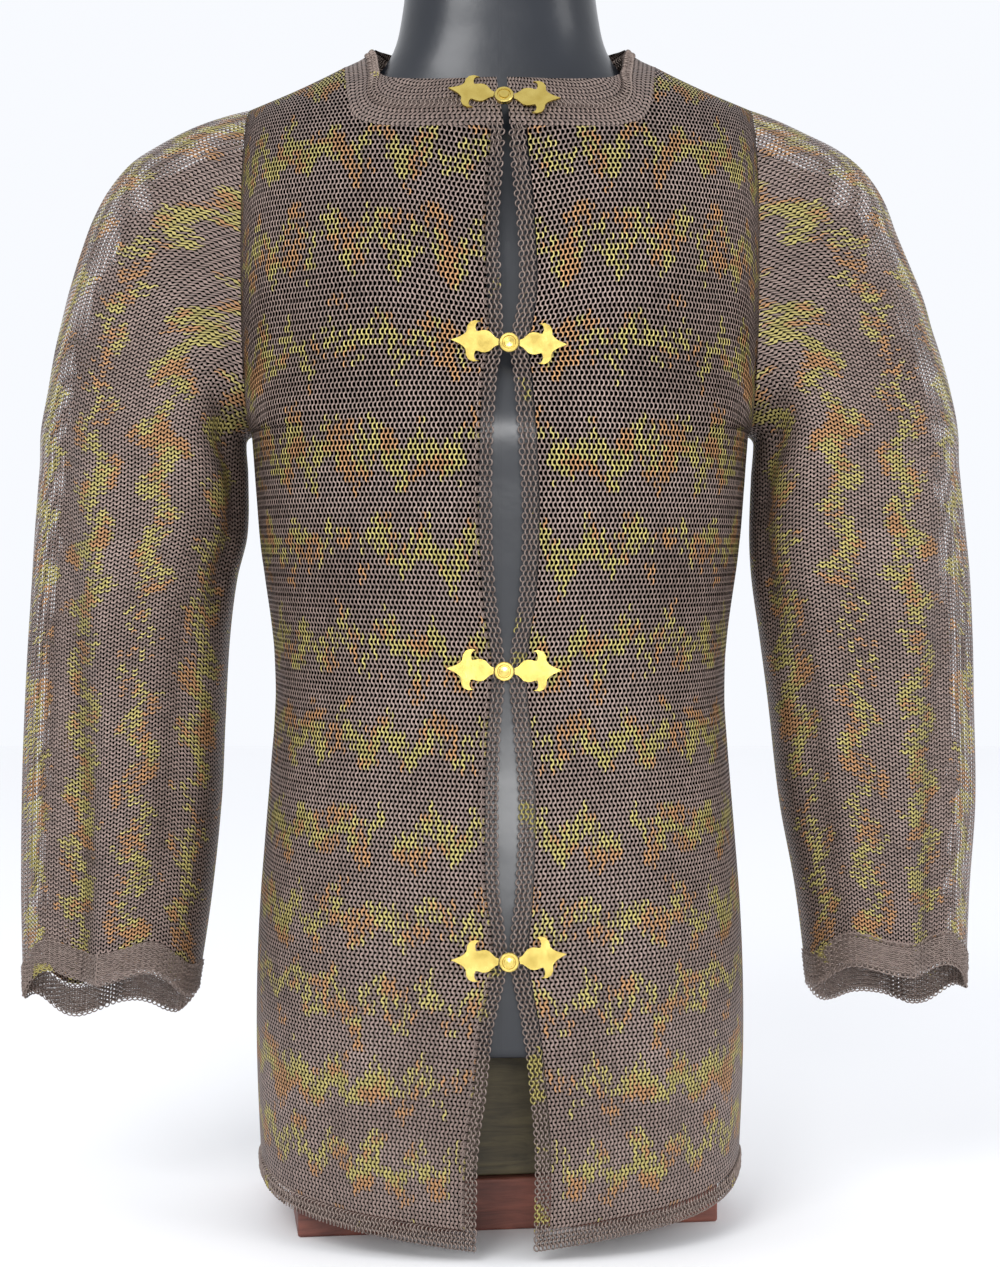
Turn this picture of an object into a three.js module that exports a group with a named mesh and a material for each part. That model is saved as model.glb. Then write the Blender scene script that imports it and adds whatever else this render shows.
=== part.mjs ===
// A short mail coat of fine iron and brass rings, open down the front, worn by a smooth limbless torso form
// that stands on a wooden riser and plank. Millimetres, +Z up, the front towards -Y. Right and left are the
// wearer's, so the right sleeve is on the -X side.
//
// The coat is cut like a kimono: two fronts and a back, straight sleeves that hang from the armholes, and a
// collar band linked round the neck. The fronts and the back are height fields over the XZ plane. A sleeve
// is a tube that first turns downwards about a pivot in the armpit and then hangs. Every mail wall grows
// inwards from its outer face.

import * as THREE from "three";

const MAIL = 2; // thickness of the mail, two wires deep
const SEAM = 0.3; // gap between neighbouring pieces
const COLLAR_SEAM = 0.9; // the collar hangs on by a row of slack rings
const CORNER_SEAM = 0.0012; // gap between the collar's stretches, as a share of its half turn
const ARMPIT_Z = 520; // where the fronts and the back stop being one tube
const ARMHOLE_X = 165; // the armholes lie in the planes x = +-ARMHOLE_X
const PIVOT_DROP = 5; // from the armpit down to the sleeve's pivot
const BODY_ROUND = 2.4; // exponent of the body's rounded cross-section
const SLEEVE_ROUND = 2.3; // exponent of the sleeve's cross-section
const ARMHOLE_DEPTH = 72; // half the armhole's width from front to back
const HANGING_Z = 500; // below this the sleeves hang straight down
const FORM_FOOT = 124; // height of the torso form's flat underside
const FORM_CLEAR = 10; // from the mail's outer face to the torso form
const PLANK = { width: 276, depth: 150, height: 34, frontX: 7, frontY: -42, setBack: 0 };
const RISER = { width: 150, depth: 110, setBack: 6 };
const WOOD_TURN = 8; // degrees, of the plank and the riser
const PLATE = 1.4; // thickness of a clasp's leaf
const PLATE_LIFT = 0.9; // from the mail to the back of a clasp

// The body's cross-section at each height.
const BODY = [
  { z: 0, half: 156, front: 116, back: 112 },
  { z: 50, half: 159, front: 117, back: 113 },
  { z: 110, half: 161.5, front: 117, back: 114 },
  { z: 160, half: 161.5, front: 116, back: 114 },
  { z: 210, half: 159.5, front: 113, back: 112 },
  { z: 250, half: 156.5, front: 109, back: 109 },
  { z: 300, half: 152.5, front: 104, back: 104 },
  { z: 345, half: 149.5, front: 102, back: 101 },
  { z: 385, half: 151, front: 103, back: 101 },
  { z: 444, half: 159, front: 109, back: 104 },
  { z: 480, half: 162, front: 113, back: 107 },
  { z: 520, half: 165, front: 117, back: 110 },
];
// The top of the shoulders, carried on in thought across the neck.
const SHOULDER = [
  { x: 0, z: 800 },
  { x: 60, z: 790 },
  { x: 85, z: 777 },
  { x: 103, z: 766 },
  { x: 134, z: 750 },
  { x: 165, z: 736 },
];
// The neckline that the collar is linked to, in front and behind. It meets the shoulder at the last x.
const NECKLINE = [
  { x: 0, front: 710, back: 751 },
  { x: 60, front: 711, back: 755 },
  { x: 84, front: 715, back: 760 },
  { x: 96, front: 727, back: 764 },
  { x: 103, front: 766, back: 766 },
];
// The upper edge of the collar, from the middle of the front (0) round to the middle of the back (1).
const COLLAR_TOP = [
  { turn: 0, x: 0, y: -66, z: 744 },
  { turn: 0.3, x: 56, y: -62, z: 744 },
  { turn: 0.42, x: 78, y: -44, z: 752 },
  { turn: 0.5, x: 84, y: -6, z: 776 },
  { turn: 0.62, x: 80, y: 26, z: 784 },
  { turn: 0.75, x: 61, y: 51, z: 785 },
  { turn: 0.88, x: 33, y: 65, z: 784 },
  { turn: 1, x: 0, y: 69, z: 783 },
];
const COLLAR_CORNER = 0.42; // the turn at which a front band meets the back band
// Where the two front edges run. They meet at the clasps and gape between them.
const OPENING = [
  { z: 8, right: -15.6, left: 21.8 },
  { z: 68, right: -14.3, left: 22.4 },
  { z: 99, right: -9.9, left: 19.9 },
  { z: 143, right: -5, left: 14.9 },
  { z: 186, right: 3.6, left: 7 },
  { z: 230, right: -1.2, left: 10.5 },
  { z: 285, right: -1.9, left: 12.4 },
  { z: 328, right: -0.6, left: 9.3 },
  { z: 366, right: 2.2, left: 6.6 },
  { z: 415, right: -3.7, left: 13 },
  { z: 470, right: -5.8, left: 14.4 },
  { z: 544, right: -3, left: 9.3 },
  { z: 567, right: 1, left: 7 },
  { z: 600, right: 0, left: 12.5 },
  { z: 645, right: -1.2, left: 11.2 },
  { z: 693, right: 1.9, left: 6.9 },
  { z: 744, right: 2.4, left: 4.6 },
];
// The hem by share of the half width, in front and behind.
const HEM = [
  { share: 0, front: 9, back: 39 },
  { share: 0.4, front: 15.5, back: 39 },
  { share: 0.75, front: 22, back: 40 },
  { share: 0.92, front: 29, back: 41 },
  { share: 1, front: 38, back: 38 },
];
// How far each sleeve's outer edge is from its pivot, from straight up (90) to straight out (180).
const SLEEVE_CAP = [
  { angle: 90, right: 221, left: 221 },
  { angle: 100, right: 213, left: 209 },
  { angle: 107, right: 207, left: 203 },
  { angle: 113, right: 202, left: 195.5 },
  { angle: 119, right: 193, left: 184 },
  { angle: 125, right: 182, left: 170 },
  { angle: 132, right: 169, left: 159 },
  { angle: 140, right: 157.5, left: 150.5 },
  { angle: 150, right: 147.5, left: 142 },
  { angle: 165, right: 140, left: 138.5 },
  { angle: 180, right: 141, left: 140 },
];
// Each hanging sleeve's inner and outer edge and its half depth. A long fold runs down its front at a share
// of its width from the inner edge, and beyond that fold the front lies back by a share of its depth.
const SLEEVES = {
  right: [
    { z: 130, inner: 206, outer: 318.3, depth: 50, fold: 0.56, lie: 0.5 },
    { z: 209, inner: 194, outer: 318.9, depth: 53, fold: 0.58, lie: 0.5 },
    { z: 276, inner: 187, outer: 318.3, depth: 56, fold: 0.6, lie: 0.48 },
    { z: 330, inner: 184.5, outer: 317, depth: 58, fold: 0.63, lie: 0.45 },
    { z: 385, inner: 181.5, outer: 315, depth: 60, fold: 0.66, lie: 0.4 },
    { z: 425, inner: 176.5, outer: 312.5, depth: 62, fold: 0.7, lie: 0.34 },
    { z: 455, inner: 169.5, outer: 310.5, depth: 64, fold: 0.73, lie: 0.28 },
    { z: 500, inner: 169, outer: 306.5, depth: 67, fold: 0.78, lie: 0.15 },
  ],
  left: [
    { z: 130, inner: 209, outer: 310.5, depth: 52, fold: 0.64, lie: 0.36 },
    { z: 216, inner: 198.5, outer: 313.6, depth: 54, fold: 0.66, lie: 0.36 },
    { z: 276, inner: 187.6, outer: 317.6, depth: 56, fold: 0.67, lie: 0.34 },
    { z: 343, inner: 180, outer: 316.5, depth: 59, fold: 0.71, lie: 0.3 },
    { z: 385, inner: 174.5, outer: 315.5, depth: 61, fold: 0.75, lie: 0.25 },
    { z: 425, inner: 169, outer: 313.5, depth: 63, fold: 0.79, lie: 0.2 },
    { z: 455, inner: 167.5, outer: 310.5, depth: 64, fold: 0.82, lie: 0.15 },
    { z: 500, inner: 169, outer: 305.5, depth: 67, fold: 0.86, lie: 0.08 },
  ],
};
const BACK_LIE = 0.5; // how far the back of a sleeve lies in beyond its fold, beside the front
const FOLD_WIDTH = 0.16; // of the sleeve's width
const CUFFS = {
  right: { front: 165, back: 130, ripple: 5 },
  left: { front: 171, back: 137, ripple: 4 },
};
// The torso form above the mail's armpits: rounded shoulder caps, then the neck.
const FORM_TOP = [
  { z: 560, half: 155, front: 100, back: 94 },
  { z: 620, half: 155, front: 91, back: 89 },
  { z: 660, half: 154, front: 80, back: 83 },
  { z: 690, half: 151, front: 69, back: 77 },
  { z: 708, half: 146, front: 63, back: 73 },
  { z: 722, half: 139, front: 58, back: 70 },
  { z: 734, half: 121, front: 56, back: 66 },
  { z: 745, half: 102, front: 54, back: 63 },
  { z: 756, half: 85, front: 53, back: 61 },
  { z: 768, half: 75, front: 52.5, back: 60 },
  { z: 780, half: 69.5, front: 52, back: 59.5 },
  { z: 796, half: 66, front: 52, back: 59 },
  { z: 815, half: 63.5, front: 51.5, back: 58 },
  { z: 850, half: 61.5, front: 51, back: 57 },
  { z: 857, half: 59.5, front: 49, back: 55 },
  { z: 860, half: 54, front: 44, back: 50 },
];
const CLASPS = [
  { x: 2.5, z: 729, hookTilt: 10, eyeTilt: -3 },
  { x: 5.6, z: 567, hookTilt: 3, eyeTilt: -2 },
  { x: 2.6, z: 364.5, hookTilt: 3, eyeTilt: 1 },
  { x: 5.6, z: 185.5, hookTilt: 2, eyeTilt: 8 },
];
const DISC = { radius: 6.1, groove: 3.9, boss: 2.9, height: 3.2 };
const LEAF = { root: 6.5, neck: 1.9, body: 7.3, horn: 12.8, tip: 36 };

const GRID = { low: 10, high: 12, neck: 6, shoulder: 6, fan: 9, hang: 10, collar: 3, form: 32 };

const rad = THREE.MathUtils.degToRad;
const { lerp, smoothstep } = THREE.MathUtils;
const mix = (table, key, column) => curve(table.map((row) => row[key]), table.map((row) => row[column]));
const range = (count) => [...Array(count).keys()];

// A smooth curve through points, held at its ends.
function curve(xs, ys) {
  const last = xs.length - 1;
  const slope = (i) => {
    const a = Math.max(i - 1, 0);
    const b = Math.min(i + 1, last);
    return (ys[b] - ys[a]) / (xs[b] - xs[a]);
  };
  return (x) => {
    const q = Math.min(Math.max(x, xs[0]), xs[last]);
    const i = Math.min(Math.max(xs.findLastIndex((value) => value <= q), 0), last - 1);
    const h = xs[i + 1] - xs[i];
    const t = (q - xs[i]) / h;
    const bend = t * (1 - t) * (1 - t) * slope(i) + t * t * (t - 1) * slope(i + 1);
    return ys[i] + t * t * (3 - 2 * t) * (ys[i + 1] - ys[i]) + h * bend;
  };
}

const bodyHalf = mix(BODY, "z", "half");
const bodyDepth = { front: mix(BODY, "z", "front"), back: mix(BODY, "z", "back") };
const shoulderZ = mix(SHOULDER, "x", "z");
const neckline = { front: mix(NECKLINE, "x", "front"), back: mix(NECKLINE, "x", "back") };
const hem = { front: mix(HEM, "share", "front"), back: mix(HEM, "share", "back") };
const frontEdge = { right: mix(OPENING, "z", "right"), left: mix(OPENING, "z", "left") };
const NECK_X = NECKLINE.at(-1).x;

// What is left of a rounded section's depth at a share of its half width.
const roundLeft = (share, power) => Math.max(1 - Math.abs(share) ** power, 0) ** (1 / power);
// A signed power, for points round a rounded section.
const bow = (value, power) => Math.sign(value) * Math.abs(value) ** (2 / power);

// How far the body's front or back stands out from y = 0 over a point of the XZ plane. Above the armpit the
// middle arches over to the shoulder, and the side follows the oval armhole.
const ARCH = { front: { bend: 2.2, end: 0.625 }, back: { bend: 3.2, end: 0.59 } };
function standOut(side, x, z) {
  if (z <= ARMPIT_Z) return bodyDepth[side](z) * roundLeft(Math.abs(x) / bodyHalf(z), BODY_ROUND);
  const up = Math.min((z - ARMPIT_Z) / (shoulderZ(Math.abs(x)) - ARMPIT_Z), 1);
  const middle = bodyDepth[side](ARMPIT_Z) * (1 - up ** ARCH[side].bend) ** ARCH[side].end;
  const armhole = ARMHOLE_DEPTH * roundLeft(2 * up - 1, SLEEVE_ROUND);
  const soft = lerp(1 / BODY_ROUND, 1.4, smoothstep(up, 0, 0.45));
  const share = Math.min(Math.abs(x) / ARMHOLE_X, 1);
  const middling = (1 - share ** BODY_ROUND) ** soft;
  // The armhole opens at once at the side, and gently towards the middle.
  const opening = lerp(smoothstep(up, 0, 0.5), 1, share ** 8);
  return middle * middling + armhole * opening * (1 - middling);
}

// A closed solid from an outer grid of points and an inner one. A tube's rows are rings, and a panel's
// aren't, so a panel has a rim on all four sides and a tube at both ends.
function wall(outer, inner, ring) {
  const rows = outer.length;
  const count = outer[0].length;
  const points = [...outer.flat(), ...inner.flat()];
  const at = (layer, i, j) => layer * rows * count + i * count + (j % count);
  const faces = [];
  const quad = (a, b, c, d) => faces.push([a, b, c], [a, c, d]);
  for (let i = 0; i < rows - 1; i++) {
    for (let j = 0; j < (ring ? count : count - 1); j++) {
      quad(at(0, i, j), at(0, i, j + 1), at(0, i + 1, j + 1), at(0, i + 1, j));
      quad(at(1, i, j), at(1, i + 1, j), at(1, i + 1, j + 1), at(1, i, j + 1));
    }
  }
  for (let j = 0; j < (ring ? count : count - 1); j++) {
    quad(at(1, 0, j), at(1, 0, j + 1), at(0, 0, j + 1), at(0, 0, j));
    quad(at(0, rows - 1, j), at(0, rows - 1, j + 1), at(1, rows - 1, j + 1), at(1, rows - 1, j));
  }
  for (let i = 0; !ring && i < rows - 1; i++) {
    quad(at(1, i, 0), at(0, i, 0), at(0, i + 1, 0), at(1, i + 1, 0));
    quad(at(0, i, count - 1), at(1, i, count - 1), at(1, i + 1, count - 1), at(0, i + 1, count - 1));
  }
  return solid(points, faces);
}

// A closed solid through rings of points, with a flat cap on both ends.
function loft(rings) {
  const count = rings[0].length;
  const points = rings.flat();
  const top = (rings.length - 1) * count;
  const faces = range(count - 2).flatMap((j) => [[0, j + 2, j + 1], [top, top + j + 1, top + j + 2]]);
  range(rings.length - 1).forEach((i) =>
    range(count).forEach((j) => {
      const next = (j + 1) % count;
      const low = i * count;
      faces.push([low + j, low + next, low + count + next], [low + j, low + count + next, low + count + j]);
    }),
  );
  return solid(points, faces);
}

// The geometry of a closed set of faces, all turned outwards.
function solid(points, faces) {
  const volume = faces.reduce(
    (sum, [a, b, c]) => sum + points[a].dot(points[b].clone().cross(points[c])),
    0,
  );
  const order = volume > 0 ? faces : faces.map(([a, b, c]) => [a, c, b]);
  const geometry = new THREE.BufferGeometry().setFromPoints(points);
  geometry.setIndex(order.flat());
  geometry.computeVertexNormals();
  return geometry;
}

// The same grid moved inwards by the mail's thickness. inside(i, j) is a point within the body.
function thicken(rows, ring, inside) {
  return rows.map((row, i) =>
    row.map((point, j) => {
      const count = row.length;
      const above = rows[Math.min(i + 1, rows.length - 1)][j];
      const below = rows[Math.max(i - 1, 0)][j];
      const next = row[ring ? (j + 1) % count : Math.min(j + 1, count - 1)];
      const before = row[ring ? (j + count - 1) % count : Math.max(j - 1, 0)];
      const normal = next.clone().sub(before).cross(above.clone().sub(below)).normalize();
      const inwards = Math.sign(normal.dot(inside(i, j).clone().sub(point)));
      return point.clone().addScaledVector(normal, MAIL * inwards);
    }),
  );
}

// Columns of a front or back as shares of the half width, closest at the neckline's corner and the side.
const COLUMNS = [
  ...range(GRID.neck).map((k) => (NECK_X / ARMHOLE_X) * Math.sin((k / GRID.neck) * (Math.PI / 2))),
  ...range(GRID.shoulder + 1).map((k) =>
    lerp(NECK_X / ARMHOLE_X, 1, Math.sin((k / GRID.shoulder) * (Math.PI / 2))),
  ),
];
// Rows above the armpit as shares of the way up, as the armhole's points are spaced.
const CLIMB = range(GRID.high + 1).map((k) => (1 - bow(Math.cos((k / GRID.high) * Math.PI), SLEEVE_ROUND)) / 2);

// The half width of the body or, above the armpit, the distance to the armhole.
const reach = (z) => (z < ARMPIT_Z ? bodyHalf(z) : ARMHOLE_X);

// One column of a panel from the hem up, at a share of the half width. edge(z) is where the panel's open edge
// runs, and its shift fades out by the neckline's corner.
function column(side, share, sign, edge) {
  const shift = Math.max(1 - share / COLUMNS[GRID.neck], 0);
  const across = (z) => Math.min(share * reach(z) + sign * edge(z) * shift, reach(z));
  const neck = across(neckline.front(0));
  const top = share < COLUMNS[GRID.neck] ? neckline[side](Math.abs(neck)) : shoulderZ(neck);
  const heights = [
    ...range(GRID.low).map((k) => lerp(hem[side](share), ARMPIT_Z, k / GRID.low)),
    ...CLIMB.map((up) => lerp(ARMPIT_Z, top, up)),
  ];
  const out = side === "front" ? -1 : 1;
  return heights.map((z) => {
    const y = out * (standOut(side, across(z), z) + SEAM / 2);
    return new THREE.Vector3(sign * across(z), y, z);
  });
}

const turned = (columns) => columns[0].map((_, i) => columns.map((points) => points[i]));
const core = (rows) => (i, j) => new THREE.Vector3(rows[i][j].x * 0.5, 0, Math.min(rows[i][j].z, 640));

// A front's or the back's outer and inner grid, all of it on its own side of the side and shoulder seams.
function panel(columns, out) {
  const outer = turned(columns);
  const inner = thicken(outer, false, core(outer));
  inner.flat().forEach((point) => {
    point.x = Math.min(Math.max(point.x, -ARMHOLE_X), ARMHOLE_X);
    point.y = out * Math.max(out * point.y, SEAM / 2);
  });
  return { outer, inner };
}

const frontPanel = (name, sign) =>
  panel(COLUMNS.map((share) => column("front", share, sign, frontEdge[name])), -1);
const backHalf = (sign) => COLUMNS.map((share) => column("back", share, sign, () => 0));
const PANELS = {
  right: frontPanel("right", -1),
  left: frontPanel("left", 1),
  back: panel([...backHalf(-1).reverse(), ...backHalf(1).slice(1)], 1),
};

// A sleeve's ring of points. The plane of the ring turns about the armpit's pivot as angle goes from 90 to
// 180, and sinks straight down from there. u runs from the inner edge (0) to the outer edge (1).
function sleeve(name) {
  const sign = name === "right" ? -1 : 1;
  const table = SLEEVES[name];
  const at = (key) => mix(table, "z", key);
  const [inner, outer, depth, fold, lie] = ["inner", "outer", "depth", "fold", "lie"].map(at);
  const cap = mix(SLEEVE_CAP, "angle", name);
  const pivot = { x: ARMHOLE_X + SEAM, z: ARMPIT_Z - PIVOT_DROP };
  const around = range(2 * GRID.high).map((k) => (k / GRID.high) * Math.PI);

  const sectionDepth = (phi, half, u, foldAt, lies) => {
    const turn = bow(Math.sin(phi), SLEEVE_ROUND);
    const beyond = smoothstep(u, foldAt - FOLD_WIDTH / 2, foldAt + FOLD_WIDTH / 2);
    const share = turn > 0 ? lies : lies * BACK_LIE;
    return -half * turn * (1 - share * beyond);
  };
  const fanRing = (angle) =>
    around.map((phi) => {
      const u = (1 - bow(Math.cos(phi), SLEEVE_ROUND)) / 2;
      const radius = lerp(PIVOT_DROP, cap(angle), u);
      const done = (angle - 90) / 90;
      const half = lerp(ARMHOLE_DEPTH, depth(HANGING_Z), done);
      const y = sectionDepth(phi, half, u, fold(HANGING_Z), lie(HANGING_Z) * smoothstep(done, 0.4, 1));
      const x = pivot.x - Math.cos(rad(angle)) * radius;
      return new THREE.Vector3(sign * x, y, pivot.z + Math.sin(rad(angle)) * radius);
    });
  const cuff = CUFFS[name];
  const hangRing = (share) =>
    around.map((phi) => {
      const u = (1 - bow(Math.cos(phi), SLEEVE_ROUND)) / 2;
      const ripple = cuff.ripple * Math.cos(5 * phi + 1);
      const end = lerp(cuff.front, cuff.back, (1 - bow(Math.sin(phi), SLEEVE_ROUND)) / 2) + ripple;
      const z = lerp(pivot.z, end, share);
      const settle = smoothstep(share, 0, 0.06);
      const from = lerp(pivot.x + PIVOT_DROP, inner(z), settle);
      const to = lerp(pivot.x + cap(180), outer(z), settle);
      return new THREE.Vector3(sign * lerp(from, to, u), sectionDepth(phi, depth(z), u, fold(z), lie(z)), z);
    });
  const rows = [
    ...range(GRID.fan).map((k) => fanRing(90 + (90 * k) / GRID.fan)),
    ...range(GRID.hang + 1).map((k) => hangRing(k / GRID.hang)),
  ];
  const centres = rows.map((row) => {
    const sum = row.reduce((total, point) => total.add(point), new THREE.Vector3());
    return sum.divideScalar(row.length);
  });
  return wall(rows, thicken(rows, true, (i) => centres[i]), true);
}

const collarTop = Object.fromEntries(["x", "y", "z"].map((axis) => [axis, mix(COLLAR_TOP, "turn", axis)]));

// A point of one side's neckline, on the outer or the inner upper edge of the panels. turn goes from the middle
// of the front (0) round to the middle of the back (1).
function collarFoot(turn, sign, layer) {
  const step = Math.min(turn, 1) * 2 * GRID.neck;
  const near = Math.min(Math.floor(step), 2 * GRID.neck - 1);
  const edge = PANELS[near >= GRID.neck ? "back" : sign < 0 ? "right" : "left"][layer].at(-1);
  const place = (k) => (near >= GRID.neck ? COLUMNS.length - 1 + sign * (2 * GRID.neck - k) : k);
  return edge[place(near)].clone().lerp(edge[place(near + 1)], step - near);
}

// A stretch of the collar band between two turns. Turns over 1 are on the other side.
function collar(from, to, sign) {
  const step = 0.5 / GRID.neck;
  const between = range(4 * GRID.neck).map((k) => k * step).filter((k) => k > from + 0.01 && k < to - 0.01);
  const turns = [from, ...between, to].map((turn) => ({
    turn: turn > 1 ? 2 - turn : turn,
    flip: turn > 1 ? -sign : sign,
  }));
  const columns = turns.map(({ turn, flip }) => {
    const foot = collarFoot(turn, flip, "outer");
    const head = new THREE.Vector3(flip * collarTop.x(turn), collarTop.y(turn), collarTop.z(turn));
    if (turn === 0) head.x = frontEdge[flip < 0 ? "right" : "left"](head.z);
    foot.addScaledVector(head.clone().sub(foot).normalize(), COLLAR_SEAM);
    return range(GRID.collar + 1).map((i) => foot.clone().lerp(head, i / GRID.collar));
  });
  const outer = turned(columns);
  const inner = thicken(outer, false, () => new THREE.Vector3(0, 0, 730));
  turns.forEach(({ turn, flip }, j) => {
    const rise = outer[1][j].clone().sub(outer[0][j]).normalize();
    inner[0][j] = collarFoot(turn, flip, "inner").addScaledVector(rise, COLLAR_SEAM);
  });
  return wall(outer, inner, false);
}

// The torso form: a little inside the mail up to the armpits, then its own shoulders and neck.
function torsoForm() {
  const low = BODY.filter(({ z }) => z > FORM_FOOT + 20 && z < ARMPIT_Z + 1);
  const within = (z) => ({
    z,
    half: bodyHalf(z) - FORM_CLEAR,
    front: bodyDepth.front(z) - FORM_CLEAR,
    back: bodyDepth.back(z) - FORM_CLEAR,
  });
  const sections = [within(FORM_FOOT), ...low.map(({ z }) => within(z)), ...FORM_TOP];
  const rings = sections.map(({ z, half, front: ahead, back: behind }) =>
    range(GRID.form).map((k) => {
      const phi = (k / GRID.form) * 2 * Math.PI;
      const y = bow(Math.sin(phi), BODY_ROUND);
      return new THREE.Vector3(half * bow(Math.cos(phi), BODY_ROUND), y * (y < 0 ? ahead : behind), z);
    }),
  );
  return loft(rings);
}

// A block of wood whose front face is parallel to the plank's, turned a little to the body.
function block({ width, depth, setBack }, from, to) {
  const geometry = new THREE.BoxGeometry(width, depth, to - from);
  const turn = rad(WOOD_TURN);
  const behind = setBack + depth / 2;
  const x = PLANK.frontX - Math.sin(turn) * behind;
  const y = PLANK.frontY + Math.cos(turn) * behind;
  geometry.rotateZ(turn);
  geometry.translate(x, y, (from + to) / 2);
  return geometry;
}

// A clasp's leaf along +X: a neck at the disc, a rounded body, two horns that curl back, and a point. Each
// curve's two handles and its end are given from the root, up to half the leaf's height.
function leaf() {
  const { root, neck, body, horn, tip } = LEAF;
  const outline = new THREE.Shape();
  outline.moveTo(root, neck);
  outline.bezierCurveTo(root + 3, neck, root + 4.5, body * 0.95, root + 8, body * 0.95);
  outline.bezierCurveTo(root + 11, body, root + 12.5, body * 0.75, root + 14, body * 0.85);
  outline.bezierCurveTo(root + 15.5, body * 1.2, root + 14.5, horn, root + 11.5, horn * 0.96);
  outline.bezierCurveTo(root + 17, horn * 1.12, root + 20.5, horn * 0.85, root + 20, body * 0.78);
  outline.bezierCurveTo(root + 21.5, body * 0.42, tip - 5, body * 0.26, tip, 0);
  const upper = outline.getPoints(4);
  const lower = upper.slice(0, -1).map((p) => new THREE.Vector2(p.x, -p.y)).reverse();
  const shape = new THREE.Shape([...upper, ...lower]);
  const geometry = new THREE.ExtrudeGeometry(shape, { depth: PLATE, bevelEnabled: false });
  geometry.rotateX(Math.PI / 2);
  return geometry;
}

function disc() {
  const { radius, groove, boss, height } = DISC;
  const profile = [
    [0, 0], [radius, 0], [radius, height - 0.5], [radius - 0.5, height], [groove + 0.4, height],
    [groove, height - 0.7], [boss + 0.3, height - 0.7], [boss, height + 0.1], [0, height + 0.4],
  ];
  const geometry = new THREE.LatheGeometry(profile.map(([r, h]) => new THREE.Vector2(r, h)), 20);
  geometry.rotateX(Math.PI);
  return geometry;
}

const part = new THREE.Group();

const FINISH = {
  mail: { color: 0x6b5e52, roughness: 0.55, metalness: 0.9 },
  iron: { color: 0x5c504a, roughness: 0.6, metalness: 0.9 },
  brass: { color: 0xc9a94e, roughness: 0.25, metalness: 1 },
  form: { color: 0x1d2733, roughness: 0.15, metalness: 0 },
  wood: { color: 0x7a4a30, roughness: 0.7, metalness: 0 },
};

function add(group, name, geometry, finish) {
  const mesh = new THREE.Mesh(geometry, new THREE.MeshStandardMaterial(FINISH[finish]));
  mesh.name = name;
  group.add(mesh);
  return mesh;
}

const panelWall = ({ outer, inner }) => wall(outer, inner, false);
add(part, "front_right", panelWall(PANELS.right), "mail");
add(part, "front_left", panelWall(PANELS.left), "mail");
add(part, "back", panelWall(PANELS.back), "mail");
add(part, "sleeve_right", sleeve("right"), "mail");
add(part, "sleeve_left", sleeve("left"), "mail");

add(part, "collar_right", collar(0, COLLAR_CORNER - CORNER_SEAM, -1), "iron");
add(part, "collar_left", collar(0, COLLAR_CORNER - CORNER_SEAM, 1), "iron");
add(part, "collar_back", collar(COLLAR_CORNER + CORNER_SEAM, 2 - COLLAR_CORNER - CORNER_SEAM, 1), "iron");

// The clasps lie on the mail with the slope that it has there.
CLASPS.forEach(({ x, z, hookTilt, eyeTilt }, i) => {
  const onCollar = z > neckline.front(0);
  const foot = collarFoot(0, 1, "outer");
  const slope = onCollar
    ? Math.atan2(collarTop.y(0) - foot.y, collarTop.z(0) - foot.z)
    : Math.atan2(standOut("front", 0, z - 10) - standOut("front", 0, z + 10), 20);
  const lie = onCollar
    ? lerp(foot.y, collarTop.y(0), (z - foot.z) / (collarTop.z(0) - foot.z))
    : -standOut("front", 0, z);
  const clasp = new THREE.Group();
  clasp.position.set(x, lie - (PLATE_LIFT + SEAM) / Math.cos(slope), z);
  clasp.rotation.x = -slope;
  part.add(clasp);
  const name = `clasp_${i + 1}`;
  const eye = add(clasp, `${name}_eye_leaf`, leaf(), "brass");
  eye.rotation.y = rad(-eyeTilt);
  const hook = add(clasp, `${name}_hook_leaf`, leaf(), "brass");
  hook.rotation.y = Math.PI + rad(hookTilt);
  add(clasp, `${name}_disc`, disc(), "brass");
});

add(part, "torso_form", torsoForm(), "form");
add(part, "riser", block(RISER, PLANK.height + SEAM, FORM_FOOT - SEAM), "wood");
add(part, "plank", block(PLANK, 0, PLANK.height), "wood");

export default part;
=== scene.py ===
# Mail shirt on a torso form: the looks. Metres in Blender, millimetres in the tables below.
import math

import bmesh
import bpy
import numpy as np
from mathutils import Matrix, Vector


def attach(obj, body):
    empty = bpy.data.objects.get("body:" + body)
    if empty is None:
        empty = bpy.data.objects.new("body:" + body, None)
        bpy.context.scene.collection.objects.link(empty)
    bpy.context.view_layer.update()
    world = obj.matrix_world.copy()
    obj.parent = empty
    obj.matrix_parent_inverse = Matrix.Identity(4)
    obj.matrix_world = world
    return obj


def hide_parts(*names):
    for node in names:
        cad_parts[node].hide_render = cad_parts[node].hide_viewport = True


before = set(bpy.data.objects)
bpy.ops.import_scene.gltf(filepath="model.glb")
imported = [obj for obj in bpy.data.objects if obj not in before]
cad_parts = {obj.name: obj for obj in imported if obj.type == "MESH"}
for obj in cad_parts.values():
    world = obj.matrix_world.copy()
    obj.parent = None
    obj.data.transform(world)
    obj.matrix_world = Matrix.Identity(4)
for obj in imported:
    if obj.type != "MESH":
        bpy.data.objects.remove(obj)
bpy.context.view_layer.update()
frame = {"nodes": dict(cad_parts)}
mm = 0.001

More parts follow.
